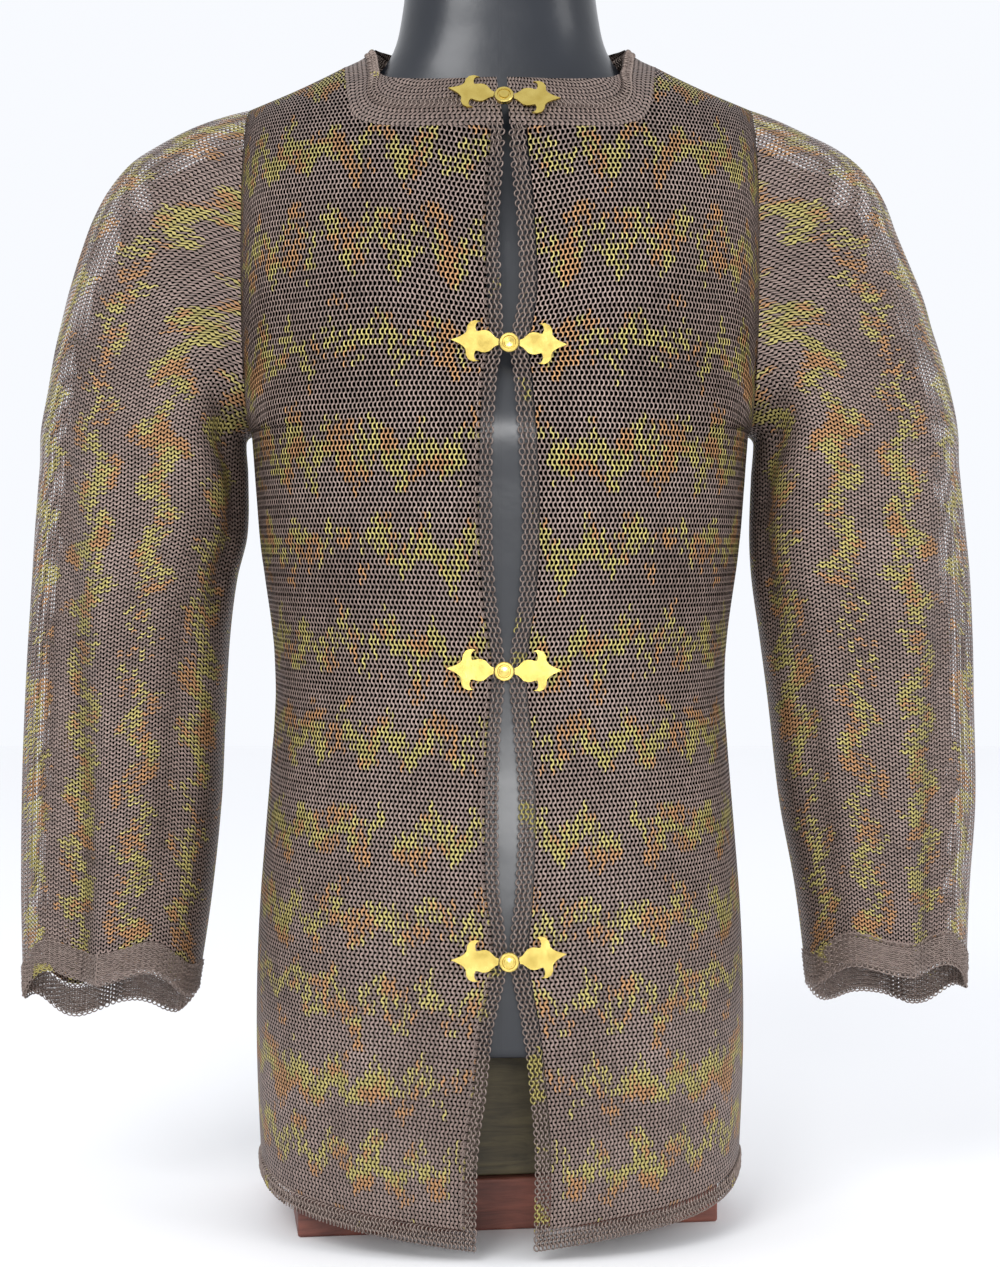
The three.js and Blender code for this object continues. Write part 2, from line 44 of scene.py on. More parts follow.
# The garment's cut, the same named sizes as the solids have.
armpitZ = 520.0
armholeX = 165.0
pivotDrop = 5.0
bodyRound = 2.4
sleeveRound = 2.3
armholeDepth = 72.0
hangingZ = 500.0
formFoot = 124.0
formClear = 10.0
seam = 0.3
foldWidth = 0.16
backLie = 0.5
formEdge = 3.0  # the rounding of the form's lower edge
slackGaps = {"up": [0, 0.28, 0.55, 0.8, 1], "gap": [2.5, 2.62, 2.95, 3.2, 3.3]}  # mm a row, hem to armpit
breastSag = {"depth": 12, "width": 50, "starts": (520, 600), "ends": (680, 750)}
stand = {"turn": 8, "frontX": 7, "frontY": -42}  # of plank and riser, degrees and mm

bodySections = {  # half width and depths of the body at each height
    "z": [0, 50, 110, 160, 210, 250, 300, 345, 385, 444, 480, 520],
    "half": [156, 159, 161.5, 161.5, 159.5, 156.5, 152.5, 149.5, 151, 159, 162, 165],
    "front": [116, 117, 117, 116, 113, 109, 104, 102, 103, 109, 113, 117],
    "back": [112, 113, 114, 114, 112, 109, 104, 101, 101, 104, 107, 110],
}
shoulderLine = {"x": [0, 60, 85, 103, 134, 165], "z": [800, 790, 777, 766, 750, 736]}
neckline = {
    "x": [0, 60, 84, 96, 103],
    "front": [710, 711, 715, 727, 766],
    "back": [751, 755, 760, 764, 766],
}
collarTop = {  # the collar's upper edge from the middle of the front (0) to the middle of the back (1)
    "turn": [0, 0.3, 0.42, 0.5, 0.62, 0.75, 0.88, 1],
    "x": [0, 56, 78, 84, 80, 61, 33, 0],
    "y": [-66, -62, -44, -6, 26, 51, 65, 69],
    "z": [744, 744, 752, 776, 784, 785, 784, 783],
}
frontEdges = {  # where the two front edges run
    "z": [8, 68, 99, 143, 186, 230, 285, 328, 366, 415, 470, 544, 567, 600, 645, 693, 744],
    "right": [-15.6, -14.3, -9.9, -5, 3.6, -1.2, -1.9, -0.6, 2.2, -3.7, -5.8, -3, 1, 0, -1.2, 1.9, 2.4],
    "left": [21.8, 22.4, 19.9, 14.9, 7, 10.5, 12.4, 9.3, 6.6, 13, 14.4, 9.3, 7, 12.5, 11.2, 6.9, 4.6],
}
hemLine = {"share": [0, 0.4, 0.75, 0.92, 1], "front": [9, 15.5, 22, 29, 38], "back": [39, 39, 40, 41, 38]}
sleeveCap = {  # from the armpit's pivot to the sleeve's outer edge, straight up (90) to straight out (180)
    "angle": [90, 100, 107, 113, 119, 125, 132, 140, 150, 165, 180],
    "right": [221, 213, 207, 202, 193, 182, 169, 157.5, 147.5, 140, 141],
    "left": [221, 209, 203, 195.5, 184, 170, 159, 150.5, 142, 138.5, 140],
}
sleeveSections = {
    "right": {
        "z": [130, 209, 276, 330, 385, 425, 455, 500],
        "inner": [206, 194, 187, 184.5, 181.5, 176.5, 169.5, 169],
        "outer": [318.3, 318.9, 318.3, 317, 315, 312.5, 310.5, 306.5],
        "depth": [50, 53, 56, 58, 60, 62, 64, 67],
        "fold": [0.56, 0.58, 0.6, 0.63, 0.66, 0.7, 0.73, 0.78],
        "lie": [0.5, 0.5, 0.48, 0.45, 0.4, 0.34, 0.28, 0.15],
    },
    "left": {
        "z": [130, 216, 276, 343, 385, 425, 455, 500],
        "inner": [209, 198.5, 187.6, 180, 174.5, 169, 167.5, 169],
        "outer": [310.5, 313.6, 317.6, 316.5, 315.5, 313.5, 310.5, 305.5],
        "depth": [52, 54, 56, 59, 61, 63, 64, 67],
        "fold": [0.64, 0.66, 0.67, 0.71, 0.75, 0.79, 0.82, 0.86],
        "lie": [0.36, 0.36, 0.34, 0.3, 0.25, 0.2, 0.15, 0.08],
    },
}
cuffLines = {"right": (165.0, 130.0, 5.0), "left": (171.0, 137.0, 4.0)}  # front, back, ripple
formTop = {  # the torso form's shoulders and neck
    "z": [560, 620, 660, 690, 708, 722, 734, 745, 756, 768, 780, 796, 815, 850, 857, 860],
    "half": [155, 155, 154, 151, 146, 139, 121, 102, 85, 75, 69.5, 66, 63.5, 61.5, 59.5, 54],
    "front": [100, 91, 80, 69, 63, 58, 56, 54, 53, 52.5, 52, 52, 51.5, 51, 49, 44],
    "back": [94, 89, 83, 77, 73, 70, 66, 63, 61, 60, 59.5, 59, 58, 57, 55, 50],
}
# The mail itself: rings in rows, each row leaning the other way from the next.
ring = {
    "pitch": 2.8,  # along a row, centre to centre
    "radius": 2.02,  # to the middle of the wire
    "wire": 0.47,  # half the wire's thickness
    "rowsToArmpit": 178,  # from hem to armpit
    "chestGap": 3.4,  # from row to row above the armpit
    "bandPeriod": 19.5,  # rows from one brass zigzag to the next
}


# A smooth curve through points, level past its ends: a cubic on each stretch whose slope at a point is that
# of the line between the point's two neighbours.
def smoothCurve(xs, ys):
    xs, ys = np.array(xs, float), np.array(ys, float)
    slopes = np.empty_like(ys)
    slopes[1:-1] = (ys[2:] - ys[:-2]) / (xs[2:] - xs[:-2])
    slopes[0] = (ys[1] - ys[0]) / (xs[1] - xs[0])
    slopes[-1] = (ys[-1] - ys[-2]) / (xs[-1] - xs[-2])

    def at(x):
        q = np.clip(x, xs[0], xs[-1])
        i = np.clip(np.searchsorted(xs, q, side="right") - 1, 0, len(xs) - 2)
        h = xs[i + 1] - xs[i]
        t = (q - xs[i]) / h
        bend = t * (1 - t) ** 2 * slopes[i] + t * t * (t - 1) * slopes[i + 1]
        return ys[i] + t * t * (3 - 2 * t) * (ys[i + 1] - ys[i]) + h * bend

    return at


def smoothStep(x, low, high):
    t = np.clip((x - low) / (high - low), 0, 1)
    return t * t * (3 - 2 * t)


def lerp(a, b, t):
    return a + (b - a) * t


def bow(value, power):
    return np.sign(value) * np.abs(value) ** (2 / power)


def roundLeft(share, power):
    return np.maximum(1 - np.abs(share) ** power, 0) ** (1 / power)


bodyHalf = smoothCurve(bodySections["z"], bodySections["half"])
bodyDepth = {side: smoothCurve(bodySections["z"], bodySections[side]) for side in ("front", "back")}
shoulderZ = smoothCurve(shoulderLine["x"], shoulderLine["z"])
neckZ = {side: smoothCurve(neckline["x"], neckline[side]) for side in ("front", "back")}
hemZ = {side: smoothCurve(hemLine["share"], hemLine[side]) for side in ("front", "back")}
edgeX = {name: smoothCurve(frontEdges["z"], frontEdges[name]) for name in ("right", "left")}
neckShare = neckline["x"][-1] / armholeX


# How far the body stands out from y = 0 over (x, z). Below the armpit it is a rounded section. Above it the
# middle arches to the shoulder line and the side follows the oval armhole.
def standOut(side, x, z):
    x = np.abs(x)
    low = bodyDepth[side](z) * roundLeft(np.minimum(x / bodyHalf(z), 1), bodyRound)
    up = np.clip((z - armpitZ) / (shoulderZ(x) - armpitZ), 0, 1)
    bend, end = (2.2, 0.625) if side == "front" else (3.2, 0.59)
    middle = bodyDepth[side](armpitZ) * (1 - up**bend) ** end
    hole = armholeDepth * roundLeft(2 * up - 1, sleeveRound)
    soft = lerp(1 / bodyRound, 1.4, smoothStep(up, 0, 0.45))
    share = np.minimum(x / armholeX, 1)
    middling = (1 - share**bodyRound) ** soft
    opening = lerp(smoothStep(up, 0, 0.5), 1, share**8)
    high = middle * middling + hole * opening * (1 - middling)
    return np.where(z <= armpitZ, low, high)


# Unit normals of a grid of points from its own differences.
def unitNormals(points):
    down = np.gradient(points, axis=0)
    across = np.gradient(points, axis=1)
    normal = np.cross(across, down)
    return normal / np.maximum(np.linalg.norm(normal, axis=2, keepdims=True), 1e-9)


# Running length along one axis of a grid, starting from 0.
def lengthAlong(points, axis):
    steps = np.linalg.norm(np.diff(points, axis=axis), axis=2)
    pad = [(1, 0), (0, 0)] if axis == 0 else [(0, 0), (1, 0)]
    return np.cumsum(np.pad(steps, pad), axis=axis)


# Creases are soft troughs (positive depth) or ridges (negative) along a straight line on the cloth, in mm.
# Each is (start a, start b, end a, end b, width, depth).
def creaseDepth(creases, a, b):
    total = np.zeros_like(a)
    for a0, b0, a1, b1, width, depth in creases:
        da, db = a1 - a0, b1 - b0
        along = np.clip(((a - a0) * da + (b - b0) * db) / (da * da + db * db), 0, 1)
        off = np.hypot(a - a0 - along * da, b - b0 - along * db)
        fade = np.sin(np.pi * np.clip(along * 0.9 + 0.05, 0, 1)) ** 0.7
        total += depth * fade * np.exp(-((off / width) ** 2))
    return total


torsoCreases = {  # over (x, z); on the fronts x is counted outwards on both sides
    "right": [
        (150, 505, 60, 548, 9, 2.6),
        (158, 560, 118, 640, 11, 3.0),
        (152, 430, 96, 452, 8, 1.6),
        (20, 560, 92, 690, 13, 1.8),
        (26, 560, 112, 600, 10, 1.3),
        (148, 350, 60, 356, 8, 1.7),
        (146, 322, 86, 314, 7, 1.4),
        (148, 380, 106, 390, 6, 1.3),
        (58, 30, 70, 205, 15, 3.0),
        (112, 34, 104, 170, 13, 2.6),
        (88, 26, 92, 120, 10, -1.6),
        (20, 186, 96, 232, 11, 1.2),
    ],
    "left": [
        (152, 500, 70, 540, 9, 2.4),
        (160, 556, 126, 652, 12, 3.2),
        (154, 446, 100, 470, 8, 1.8),
        (28, 562, 104, 684, 14, 1.6),
        (146, 340, 70, 352, 8, 1.6),
        (150, 372, 92, 378, 7, 1.2),
        (146, 306, 98, 300, 8, 1.3),
        (76, 32, 66, 190, 14, 2.8),
        (124, 40, 120, 190, 12, 2.4),
        (102, 28, 98, 130, 10, -1.8),
        (26, 184, 110, 224, 12, 1.4),
    ],
    "back": [
        (-70, 60, -58, 250, 15, 3.0),
        (-8, 50, 2, 210, 16, 2.4),
        (64, 56, 56, 262, 14, 3.2),
        (112, 60, 104, 190, 12, 2.2),
        (-118, 58, -110, 200, 12, 2.6),
        (-150, 350, -40, 362, 9, 2.0),
        (148, 334, 30, 350, 9, 2.2),
        (-146, 318, -66, 312, 8, 1.4),
        (146, 378, 62, 388, 8, 1.6),
        (-156, 540, -104, 640, 12, 3.0),
        (158, 532, 110, 652, 12, 3.2),
        (-86, 690, -20, 610, 12, 1.6),
        (84, 694, 14, 600, 13, 1.4),
    ],
}
sleeveCreases = {  # (share round the sleeve, 0 the armpit and 0.5 the outer edge; mm up from the cuff)
    "right": [
        (0.16, 20, 0.13, 300, 13, 5.5),
        (0.24, 120, 0.2, 420, 15, 4.5),
        (0.08, 240, 0.05, 350, 10, 5.0),
        (0.4, 60, 0.36, 380, 10, 4.0),
        (0.46, 10, 0.44, 250, 8, -2.5),
        (0.3, 330, 0.22, 520, 16, 4.0),
        (0.05, 330, 0.16, 430, 12, 6.0),
        (0.62, 30, 0.66, 330, 14, 6.0),
        (0.78, 40, 0.74, 400, 15, 5.0),
        (0.9, 220, 0.93, 380, 12, 5.0),
    ],
    "left": [
        (0.14, 10, 0.12, 260, 12, 4.5),
        (0.22, 60, 0.2, 360, 15, 5.0),
        (0.07, 230, 0.05, 340, 10, 5.0),
        (0.42, 30, 0.41, 340, 9, 3.5),
        (0.3, 280, 0.24, 500, 15, 3.8),
        (0.05, 320, 0.15, 420, 12, 5.5),
        (0.6, 20, 0.63, 300, 13, 5.0),
        (0.74, 60, 0.73, 420, 15, 5.5),
        (0.88, 200, 0.92, 380, 12, 5.0),
    ],
}


# A front or the back as a grid (rows from the hem up, columns from the open edge to the side), with its
# place in rings: u across, the same all the way up a column, and v up, in rows.
def torsoSurface(side, name, fine):
    sign = -1 if name == "right" else 1
    nearNeck = neckShare * np.sin(np.linspace(0, np.pi / 2, fine["neck"] + 1)[:-1])
    beyond = lerp(neckShare, 1, np.sin(np.linspace(0, np.pi / 2, fine["shoulder"] + 1)))
    share = np.concatenate([nearNeck, beyond])
    edge = edgeX[name] if side == "front" else (lambda z: 0 * z)
    shift = np.maximum(1 - share / neckShare, 0)

    def across(z):
        reach = np.where(z < armpitZ, bodyHalf(z), armholeX)
        return np.minimum(share * reach + sign * edge(z) * shift, reach)

    neck = across(np.full_like(share, neckline["front"][0]))
    top = np.where(share < neckShare - 1e-9, neckZ[side](np.abs(neck)), shoulderZ(neck))
    climb = (1 - bow(np.cos(np.linspace(0, np.pi, fine["high"] + 1)), sleeveRound)) / 2
    t = np.linspace(0, 1, fine["low"] + 1)[:-1]
    below = lerp(hemZ[side](share)[None], armpitZ, t[:, None])
    z = np.concatenate([below, lerp(armpitZ, top[None], climb[:, None])])
    x = across(z)
    y = standOut(side, x, z) + seam / 2
    points = np.stack([sign * x, (-1 if side == "front" else 1) * y, z], axis=2)

    # Rows are closer at the hem, where the mail hangs slack, than at the belly.
    gap = smoothCurve(slackGaps["up"], slackGaps["gap"])(t)
    grown = np.concatenate([[0], np.cumsum(1 / gap)])
    rowsLow = ring["rowsToArmpit"] * grown[:-1] / grown[-1]
    climbed = lengthAlong(points[fine["low"] :], 0) / chestGap
    v = np.concatenate([np.repeat(rowsLow[:, None], len(share), 1), ring["rowsToArmpit"] + climbed])
    if side == "front":
        # On the breast the rows sag towards the open edge.
        fade = smoothStep(z, *breastSag["starts"]) * (1 - smoothStep(z, *breastSag["ends"]))
        sag = breastSag["depth"] * np.exp(-((x / breastSag["width"]) ** 2)) * fade
        v = v + sag / chestGap
    girth = lengthAlong(points[fine["low"] // 4 : fine["low"] // 4 + 1], 1)[0] / ring["pitch"]
    u = np.repeat(girth[None], len(z), 0)
    return points, u, v


def armholeLength():
    phi = np.linspace(0, np.pi, 400)
    up = (1 - bow(np.cos(phi), sleeveRound)) / 2 * (shoulderLine["z"][-1] - armpitZ)
    y = armholeDepth * bow(np.sin(phi), sleeveRound)
    return phi, np.concatenate([[0], np.cumsum(np.hypot(np.diff(up), np.diff(y)))])


holePhi, holeRun = armholeLength()
armholeRows = round(holeRun[-1] / ring["chestGap"])
chestGap = holeRun[-1] / armholeRows  # a whole number of rows from armpit to shoulder


# A sleeve as a grid (rows from the armhole down to the cuff, columns round it from the armpit over the
# front), with its place in rings: u along it from the cuff, v round it in rows.
def sleeveSurface(name, fine):
    sign = -1 if name == "right" else 1
    table = sleeveSections[name]
    inner, outer, depth, fold, lie = (
        smoothCurve(table["z"], table[key]) for key in ("inner", "outer", "depth", "fold", "lie")
    )
    cap = smoothCurve(sleeveCap["angle"], sleeveCap[name])
    pivotX, pivotZ = armholeX + seam, armpitZ - pivotDrop
    phi = np.linspace(0, 2 * np.pi, fine["around"] + 1)[None]
    share = (1 - bow(np.cos(phi), sleeveRound)) / 2
    turn = bow(np.sin(phi), sleeveRound)

    def depthAt(half, foldAt, lies):
        beyond = smoothStep(share, foldAt - foldWidth / 2, foldAt + foldWidth / 2)
        return -half * turn * (1 - np.where(turn > 0, lies, lies * backLie) * beyond)

    angle = np.linspace(90, 180, fine["fan"] + 1)[:-1, None]
    radius = lerp(pivotDrop, cap(angle), share)
    done = (angle - 90) / 90
    half = lerp(armholeDepth, depth(hangingZ), done)
    fanY = depthAt(half, fold(hangingZ), lie(hangingZ) * smoothStep(done, 0.4, 1))
    fanX = pivotX - np.cos(np.radians(angle)) * radius
    fanZ = pivotZ + np.sin(np.radians(angle)) * radius

    front, back, ripple = cuffLines[name]
    end = lerp(front, back, (1 - turn) / 2) + ripple * np.cos(5 * phi + 1)
    down = np.linspace(0, 1, fine["hang"] + 1)[:, None]
    z = lerp(pivotZ, end, down)
    settle = smoothStep(down, 0, 0.06)
    start = lerp(pivotX + pivotDrop, inner(z), settle)
    stop = lerp(pivotX + cap(180.0), outer(z), settle)
    x = lerp(start, stop, share)
    y = depthAt(depth(z), fold(z), lie(z))
    points = np.concatenate([np.stack([fanX, fanY, fanZ], 2), np.stack([x, y, z], 2)])
    points[..., 0] *= sign

    run = lengthAlong(points, 0)
    u = (run[-1:] - run) / ring["pitch"]
    halfTurn = np.interp(np.minimum(phi, 2 * np.pi - phi), holePhi, holeRun)
    rows = np.where(phi <= np.pi, halfTurn, 2 * holeRun[-1] - halfTurn) / chestGap
    v = np.repeat(ring["rowsToArmpit"] + rows, len(points), 0)
    return points, u, v


# The grid with its points moved in along their normals by the creases' depth.
def pressCreases(points, depth, outward):
    normal = unitNormals(points)
    flip = np.sign(np.sum(normal * outward, axis=2, keepdims=True))
    return points - normal * np.where(flip == 0, 1, flip) * depth[..., None]


# A hex colour as sRGB shows it, turned to linear light.
def linear(hexColour):
    parts = [int(hexColour[i : i + 2], 16) / 255 for i in (1, 3, 5)]
    return [c / 12.92 if c <= 0.04045 else ((c + 0.055) / 1.055) ** 2.4 for c in parts] + [1.0]


# Adds a node, sets its properties, and fills its inputs from values or links from other sockets.
def addNode(tree, kind, settings=None, inputs=None):
    node = tree.nodes.new(kind)
    for key, value in (settings or {}).items():
        setattr(node, key, value)
    for key, value in (inputs or {}).items():
        socket = node.inputs[key]
        if isinstance(value, bpy.types.NodeSocket):
            tree.links.new(value, socket)
        else:
            socket.default_value = value
    return node


def newMaterial(name):
    material = bpy.data.materials.new(name)
    material.use_nodes = True
    tree = material.node_tree
    tree.nodes.clear()
    return material, tree


# A short way to write sums: calc("ADD", a, b) gives the socket with the result.
def maths(tree):

    def calc(operation, *values):
        node = addNode(tree, "ShaderNodeMath", {"operation": operation}, dict(enumerate(values)))
        return node.outputs[0]

    return calc


# Linked rings of drawn wire, each leaning so that one side lies over its neighbour. Light wire over holes
# painted near-black as painted shade gives the eye waves across the rows. Iron has browned, and brass is
# tarnished olive.
def mailMaterial(name, look):
    material, tree = newMaterial(name)
    calc = maths(tree)
    place = addNode(tree, "ShaderNodeUVMap", {"uv_map": "ringPlace"})
    split = addNode(tree, "ShaderNodeSeparateXYZ", inputs={0: place.outputs[0]})
    u, v = split.outputs[0], split.outputs[1]
    wide = ring["pitch"] * look["seenWidth"]  # half a leaning ring's width, in mm
    tall = ring["radius"]
    radiusV = calc("MAXIMUM", calc("MULTIPLY_ADD", v, look["rowStretch"], look["rowFill"]), look["leastFill"])

    nearRow = calc("ROUND", v)
    offRow = calc("SUBTRACT", v, nearRow)
    side = calc("SUBTRACT", calc("MULTIPLY", calc("GREATER_THAN", offRow, 0.0), 2.0), 1.0)
    best = None
    for row, off in ((nearRow, offRow), (calc("ADD", nearRow, side), calc("SUBTRACT", offRow, side))):
        odd = calc("PINGPONG", row, 1.0)
        lean = calc("SUBTRACT", calc("MULTIPLY", odd, 2.0), 1.0)
        shifted = calc("SUBTRACT", u, calc("MULTIPLY", odd, 0.5))
        first = calc("FLOOR", shifted)
        rest = calc("SUBTRACT", shifted, first)
        upward = calc("DIVIDE", off, radiusV)
        upSquared = calc("MULTIPLY", upward, upward)
        for step in (0.0, 1.0):
            across = calc("DIVIDE", calc("SUBTRACT", rest, step), look["seenWidth"])
            acrossSquared = calc("MULTIPLY", across, across)
            distance = calc("SQRT", calc("ADD", acrossSquared, upSquared))
            local = calc("MULTIPLY_ADD", calc("MINIMUM", acrossSquared, 1.0), wide - tall, tall)
            inWire = calc("DIVIDE", calc("MULTIPLY", calc("SUBTRACT", distance, 1.0), local), ring["wire"])
            left = calc("SUBTRACT", 1.0, calc("MULTIPLY", inWire, inWire))
            bulge = calc("MULTIPLY", calc("SQRT", calc("MAXIMUM", left, 0.0)), ring["wire"])
            leaning = calc("MULTIPLY_ADD", calc("MULTIPLY", across, lean), 1.1, bulge)
            height = calc("ADD", leaning, calc("MULTIPLY", calc("LESS_THAN", left, 0.0), -6.0))
            centre = calc("ADD", first, calc("MULTIPLY_ADD", odd, 0.5, step))
            if best is None:
                best = [height, centre, row]
                continue
            wins = calc("GREATER_THAN", height, best[0])
            best = [
                calc("MAXIMUM", height, best[0]),
                calc("MULTIPLY_ADD", calc("SUBTRACT", centre, best[1]), wins, best[1]),
                calc("MULTIPLY_ADD", calc("SUBTRACT", row, best[2]), wins, best[2]),
            ]
    height, ringU, ringV = best
    wired = calc("GREATER_THAN", height, -2.0)
    surface = calc("MAXIMUM", height, -1.4)

    ringAt = addNode(tree, "ShaderNodeCombineXYZ", inputs={0: ringU, 1: ringV}).outputs[0]
    flat = {"noise_dimensions": "2D"}
    speck = addNode(tree, "ShaderNodeTexWhiteNoise", flat, {"Vector": ringAt}).outputs["Value"]
    patchSize = {"Vector": ringAt, "Scale": 0.045, "Detail": 2.0}
    patch = addNode(tree, "ShaderNodeTexNoise", flat, patchSize).outputs[0]
    raggedSize = {"Vector": ringAt, "Scale": 0.14, "Detail": 1.0}
    ragged = addNode(tree, "ShaderNodeTexNoise", flat, raggedSize).outputs[0]

    iron = addNode(
        tree,
        "ShaderNodeMix",
        {"data_type": "RGBA"},
        {0: patch, 6: linear(look["ironDark"]), 7: linear(look["ironLight"])},
    ).outputs[2]
    colour = iron
    if look["bands"]:
        # A row of rings is brass where it is near a line that goes up and down along its band. The line
        # wanders, and rings drop out of it at random.
        wander = calc("MULTIPLY_ADD", calc("SUBTRACT", patch, 0.5), 9.0, ringV)
        phase = calc("FRACT", calc("DIVIDE", calc("SUBTRACT", wander, look["firstBand"]), ring["bandPeriod"]))
        fromBand = calc("MULTIPLY", calc("SUBTRACT", phase, 0.5), ring["bandPeriod"])
        shaken = calc("MULTIPLY_ADD", calc("SUBTRACT", ragged, 0.5), 6.0, ringU)
        spikes = calc("PINGPONG", calc("ADD", shaken, look["spikeShift"]), look["spikes"] / 2)
        zigzag = calc("MULTIPLY_ADD", spikes, 4.0 * look["reach"] / look["spikes"], -look["reach"])
        apart = calc("ABSOLUTE", calc("SUBTRACT", fromBand, zigzag))
        allowed = calc("MULTIPLY_ADD", calc("SUBTRACT", ragged, 0.5), 11.0, look["thickness"])
        near = calc("LESS_THAN", apart, calc("MULTIPLY_ADD", calc("SUBTRACT", speck, 0.5), 4.0, allowed))
        kept = calc("GREATER_THAN", calc("ADD", patch, calc("MULTIPLY", speck, 0.45)), 0.6)
        isBrass = calc("MULTIPLY", near, kept)
        rust = calc("GREATER_THAN", calc("MULTIPLY_ADD", speck, 0.16, ragged), 0.68)
        brass = addNode(
            tree,
            "ShaderNodeMix",
            {"data_type": "RGBA"},
            {0: rust, 6: linear(look["brass"]), 7: linear(look["copper"])},
        ).outputs[2]
        metals = {0: isBrass, 6: iron, 7: brass}
        colour = addNode(tree, "ShaderNodeMix", {"data_type": "RGBA"}, metals).outputs[2]
    # Painted shade: the lower a wire lies the darker it is painted, and the holes between wires are painted
    # black.
    # Each ring is also a little lighter or darker than the next.
    low = addNode(
        tree,
        "ShaderNodeMapRange",
        {"interpolation_type": "SMOOTHSTEP"},
        {"Value": surface, "From Min": -1.0, "From Max": 1.25, "To Min": 0.03, "To Max": 1.0},
    ).outputs[0]
    shade = calc("MULTIPLY", calc("MULTIPLY", low, wired), calc("MULTIPLY_ADD", speck, 0.5, 0.8))
    colourWithPaintedShade = addNode(
        tree, "ShaderNodeMix", {"data_type": "RGBA", "blend_type": "MULTIPLY"}, {0: 1.0, 6: colour, 7: shade}
    ).outputs[2]
    rough = calc("MULTIPLY_ADD", speck, 0.15, look["roughness"])
    bump = addNode(tree, "ShaderNodeBump", {}, {"Height": surface, "Strength": 1.0, "Distance": 0.6 * mm})
    shine = calc("MULTIPLY", wired, look["metallic"])
    metal = addNode(
        tree,
        "ShaderNodeBsdfPrincipled",
        {},
        {
            "Base Color": colourWithPaintedShade,
            "Metallic": shine,
            "Roughness": rough,
            "Specular IOR Level": calc("MULTIPLY", wired, 0.5),
            "Normal": bump.outputs[0],
        },
    )
    shown = metal.outputs[0]
    if look["openRows"] > 0:
        # Along the outer side of a sleeve light comes through the holes. Elsewhere they are painted black, as
        # painted shade.
        fromOpen = calc("ABSOLUTE", calc("SUBTRACT", v, look["openRow"]))
        raggedEdge = calc("MULTIPLY_ADD", ragged, 12.0, fromOpen)
        solid = calc("MAXIMUM", wired, calc("GREATER_THAN", raggedEdge, look["openRows"]))
        hole = addNode(tree, "ShaderNodeBsdfTransparent")
        shown = addNode(tree, "ShaderNodeMixShader", {}, {0: solid, 1: hole.outputs[0], 2: shown}).outputs[0]
    addNode(tree, "ShaderNodeOutputMaterial", {}, {"Surface": shown})
    return material


mailLook = {
    "seenWidth": 0.5,  # half the width of a leaning ring, in pitches
    "rowFill": 0.8,  # a ring's half height in rows at the hem, less by rowStretch a row further up
    "rowStretch": -0.00112,
    "leastFill": 0.6,
    "openRow": 0.0,
    "openRows": 0.0,  # how many rows either side of openRow have open holes
    "bands": True,
    "firstBand": 7.2,
    "spikes": 11.0,
    "spikeShift": 2.0,
    "reach": 3.6,
    "thickness": 3.4,
    "ironDark": "#75645d",
    "ironLight": "#a08d85",
    "brass": "#aca064",
    "copper": "#a9805a",
    "roughness": 0.42,
    "metallic": 0.55,
}
sleeveLook = {
    **mailLook,
    "openRow": 256.0,
    "openRows": 26.0,
    "rowFill": 0.74,
    "rowStretch": 0.0,
    "spikeShift": 5.0,
    "spikes": 14.0,
}
mail = {
    "torso": mailMaterial("tarnishedIronAndBrassMail", mailLook),
    "sleeve": mailMaterial("sleeveIronAndBrassMail", sleeveLook),
    "collar": mailMaterial("brownedIronMail", {**mailLook, "bands": False, "ironLight": "#8f7f77"}),
}
print("materials of the mail")


# A mesh object from arrays: vertices in mm, faces as rows of vertex numbers, uv per face corner.
def newMesh(name, vertices, faces, material, uv=None, smooth=True):
    mesh = bpy.data.meshes.new(name)
    sides = faces.shape[1]
    mesh.vertices.add(len(vertices))
    mesh.vertices.foreach_set("co", (np.asarray(vertices, np.float32) * mm).ravel())
    mesh.loops.add(faces.size)
    mesh.loops.foreach_set("vertex_index", faces.astype(np.int32).ravel())
    mesh.polygons.add(len(faces))
    mesh.polygons.foreach_set("loop_start", np.arange(0, faces.size, sides, dtype=np.int32))
    if uv is not None:
        layer = mesh.uv_layers.new(name="ringPlace")
        layer.data.foreach_set("uv", np.asarray(uv, np.float32).ravel())
    mesh.update(calc_edges=True)
    mesh.polygons.foreach_set("use_smooth", np.full(len(faces), smooth))
    mesh.materials.append(material)
    piece = bpy.data.objects.new(name, mesh)
    bpy.context.scene.collection.objects.link(piece)
    return piece


# A shell on a grid of points. With wrap the last column is the first one again.
def gridMesh(name, points, u, v, material, outward, wrap=False):
    rows, columns = points.shape[:2]
    kept = columns - 1 if wrap else columns
    i, j = np.meshgrid(np.arange(rows - 1), np.arange(columns - 1), indexing="ij")
    corners = [(i, j), (i, j + 1), (i + 1, j + 1), (i + 1, j)]
    faces = np.stack([a * kept + b % kept for a, b in corners], 2).reshape(-1, 4)
    uv = np.stack([np.stack([u[a, b], v[a, b]], 2) for a, b in corners], 2).reshape(-1, 4, 2)
    flat = points[:, :kept].reshape(-1, 3)
    first = flat[faces]
    normal = np.cross(first[:, 2] - first[:, 0], first[:, 3] - first[:, 1])
    facing = np.sum(normal * outward(first.mean(axis=1)))
    if facing < 0:
        faces, uv = faces[:, ::-1], uv[:, ::-1]
    return newMesh(name, flat, faces, material, uv)


def keepRide(piece, slot, *nodes):
    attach(piece, "root")
    if nodes:
        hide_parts(*nodes)
    return piece


fine = {"neck": 40, "shoulder": 40, "low": 150, "high": 90, "around": 160, "fan": 60, "hang": 110}


def awayFromSpine(middle):
    return middle * [1, 1, 0]


